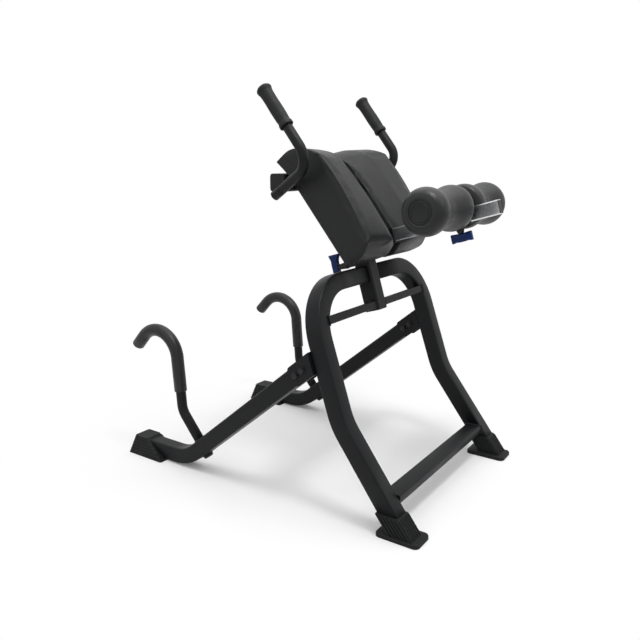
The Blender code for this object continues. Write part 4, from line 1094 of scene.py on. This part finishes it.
class TRAINER_OT_stage(bpy.types.Operator):
    """Sets the floor, the light and the camera"""

    bl_idname = "trainer.stage"
    bl_label = "Studio"

    def execute(self, context):
        scene = context.scene
        self.floor()
        self.world(scene)
        self.lamps()
        camera = placed("view", bpy.data.cameras.new("view"))
        camera.data.lens = 37.63
        camera.data.sensor_width = 36.0
        camera.data.clip_end = 60.0
        ahead = Vector((0.8023, 0.5490, -0.2343))
        camera.matrix_world = frame_at(Vector((-1.70346, -1.14394, 0.94880)), -ahead,
                                       Vector((0.5647, -0.8253, 0.0)))
        scene.camera = camera
        scene.view_settings.view_transform = "Standard"
        return {"FINISHED"}

    def floor(self):
        """A pale floor that keeps the shadow and fades to white away from the object."""
        shape = bmesh.new()
        bmesh.ops.create_circle(shape, cap_ends=True, segments=64, radius=FLOOR_RADIUS,
                                matrix=Matrix.Translation((0.0, 0.0, -0.0004)))
        floor = placed("floor", mesh_of("floor", shape))
        material = bpy.data.materials.new("pale_studio_floor")
        material.use_nodes = True
        tree = material.node_tree
        tree.nodes.clear()
        place = add_node(tree, "TexCoord").outputs["Object"]
        far = add_node(tree, "VectorMath", {0: place}, {"operation": "LENGTH"})
        fade = ranged(tree, far.outputs["Value"], 0.30, 1.05, kind="SMOOTHSTEP")
        rays = add_node(tree, "LightPath").outputs
        seen = calculated(tree, "MULTIPLY", rays["Is Camera Ray"], fade)
        paint = add_node(tree, "BsdfDiffuse", {"Color": (*linear("#fbfbfb"), 1.0)})
        white = add_node(tree, "Emission", {"Color": WHITE, "Strength": 1.0})
        self.mixed(tree, seen, paint, white, "OutputMaterial")
        floor.data.materials.append(material)

    def world(self, scene):
        """A white surround for the camera, metal and gloss, and a soft even light."""
        world = bpy.data.worlds.new("studio")
        scene.world = world
        world.use_nodes = True
        tree = world.node_tree
        tree.nodes.clear()
        rays = add_node(tree, "LightPath").outputs
        clear = calculated(tree, "MAXIMUM", rays["Is Glossy Ray"], rays["Is Transmission Ray"])
        bright = calculated(tree, "MAXIMUM", rays["Is Camera Ray"], clear)
        light = add_node(tree, "Background", {"Color": WHITE, "Strength": 0.42})
        white = add_node(tree, "Background", {"Color": WHITE, "Strength": 1.0})
        self.mixed(tree, bright, light, white, "OutputWorld")

    def mixed(self, tree, factor, first, second, output):
        """Mixes two shaders into a tree's output."""
        mix = add_node(tree, "MixShader", {0: factor, 1: first.outputs[0], 2: second.outputs[0]})
        add_node(tree, output, {"Surface": mix.outputs[0]})

    def lamps(self):
        """Large soft boxes overhead, on the camera's left and in front of the pads."""
        # Name, place, aim, size and power
        boxes = (
            ("overhead", (0.2, -0.1, 3.2), (0.0, 0.0, 0.4), 4.2, 70.0),
            ("left_box", (-2.6, 0.6, 1.7), (0.0, 0.0, 0.5), 1.8, 7.0),
            ("front_box", (0.4, -2.6, 2.6), (0.0, 0.0, 0.7), 1.2, 10.0),
            ("key_strip", (-0.5, -0.9, 2.9), (0.0, -0.2, 0.8), 0.5, 22.0),
        )
        for name, place, aim, size, power in boxes:
            lamp = bpy.data.lights.new(name, "AREA")
            lamp.shape = "SQUARE"
            lamp.size = size
            lamp.energy = power
            placed(name, lamp).matrix_world = frame_at(Vector(place), Vector(place) - Vector(aim), ACROSS)


class TRAINER_PT_panel(bpy.types.Panel):
    """The trainer's settings and steps"""

    bl_label = "Inversion core trainer"
    bl_space_type = "VIEW_3D"
    bl_region_type = "UI"
    bl_category = "Trainer"

    def draw(self, context):
        layout = self.layout
        for group in (context.scene.trainer_sizes, context.scene.trainer_colours):
            box = layout.box()
            for name in group.__annotations__:
                box.prop(group, name)
        for step in STEPS:
            layout.operator(step.bl_idname)


STEPS = (
    TRAINER_OT_frame_finish, TRAINER_OT_arch, TRAINER_OT_step, TRAINER_OT_handle_tubes,
    TRAINER_OT_front_boots, TRAINER_OT_hip_pads, TRAINER_OT_rollers, TRAINER_OT_hook_foams,
    TRAINER_OT_grips, TRAINER_OT_bolts, TRAINER_OT_knobs, TRAINER_OT_welds, TRAINER_OT_stage,
)
GROUPS = (TrainerSizes, TrainerColours)


def register():
    """Registers the classes and the settings."""
    for kind in GROUPS + STEPS + (TRAINER_PT_panel,):
        bpy.utils.register_class(kind)
    bpy.types.Scene.trainer_sizes = PointerProperty(type=TrainerSizes)
    bpy.types.Scene.trainer_colours = PointerProperty(type=TrainerColours)


def unregister():
    """Removes the settings and the classes."""
    del bpy.types.Scene.trainer_colours
    del bpy.types.Scene.trainer_sizes
    for kind in reversed(GROUPS + STEPS + (TRAINER_PT_panel,)):
        bpy.utils.unregister_class(kind)


def main():
    """Registers the classes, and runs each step."""
    register()
    for step in STEPS:
        family, name = step.bl_idname.split(".")
        getattr(getattr(bpy.ops, family), name)()


if __name__ == "__main__":
    main()
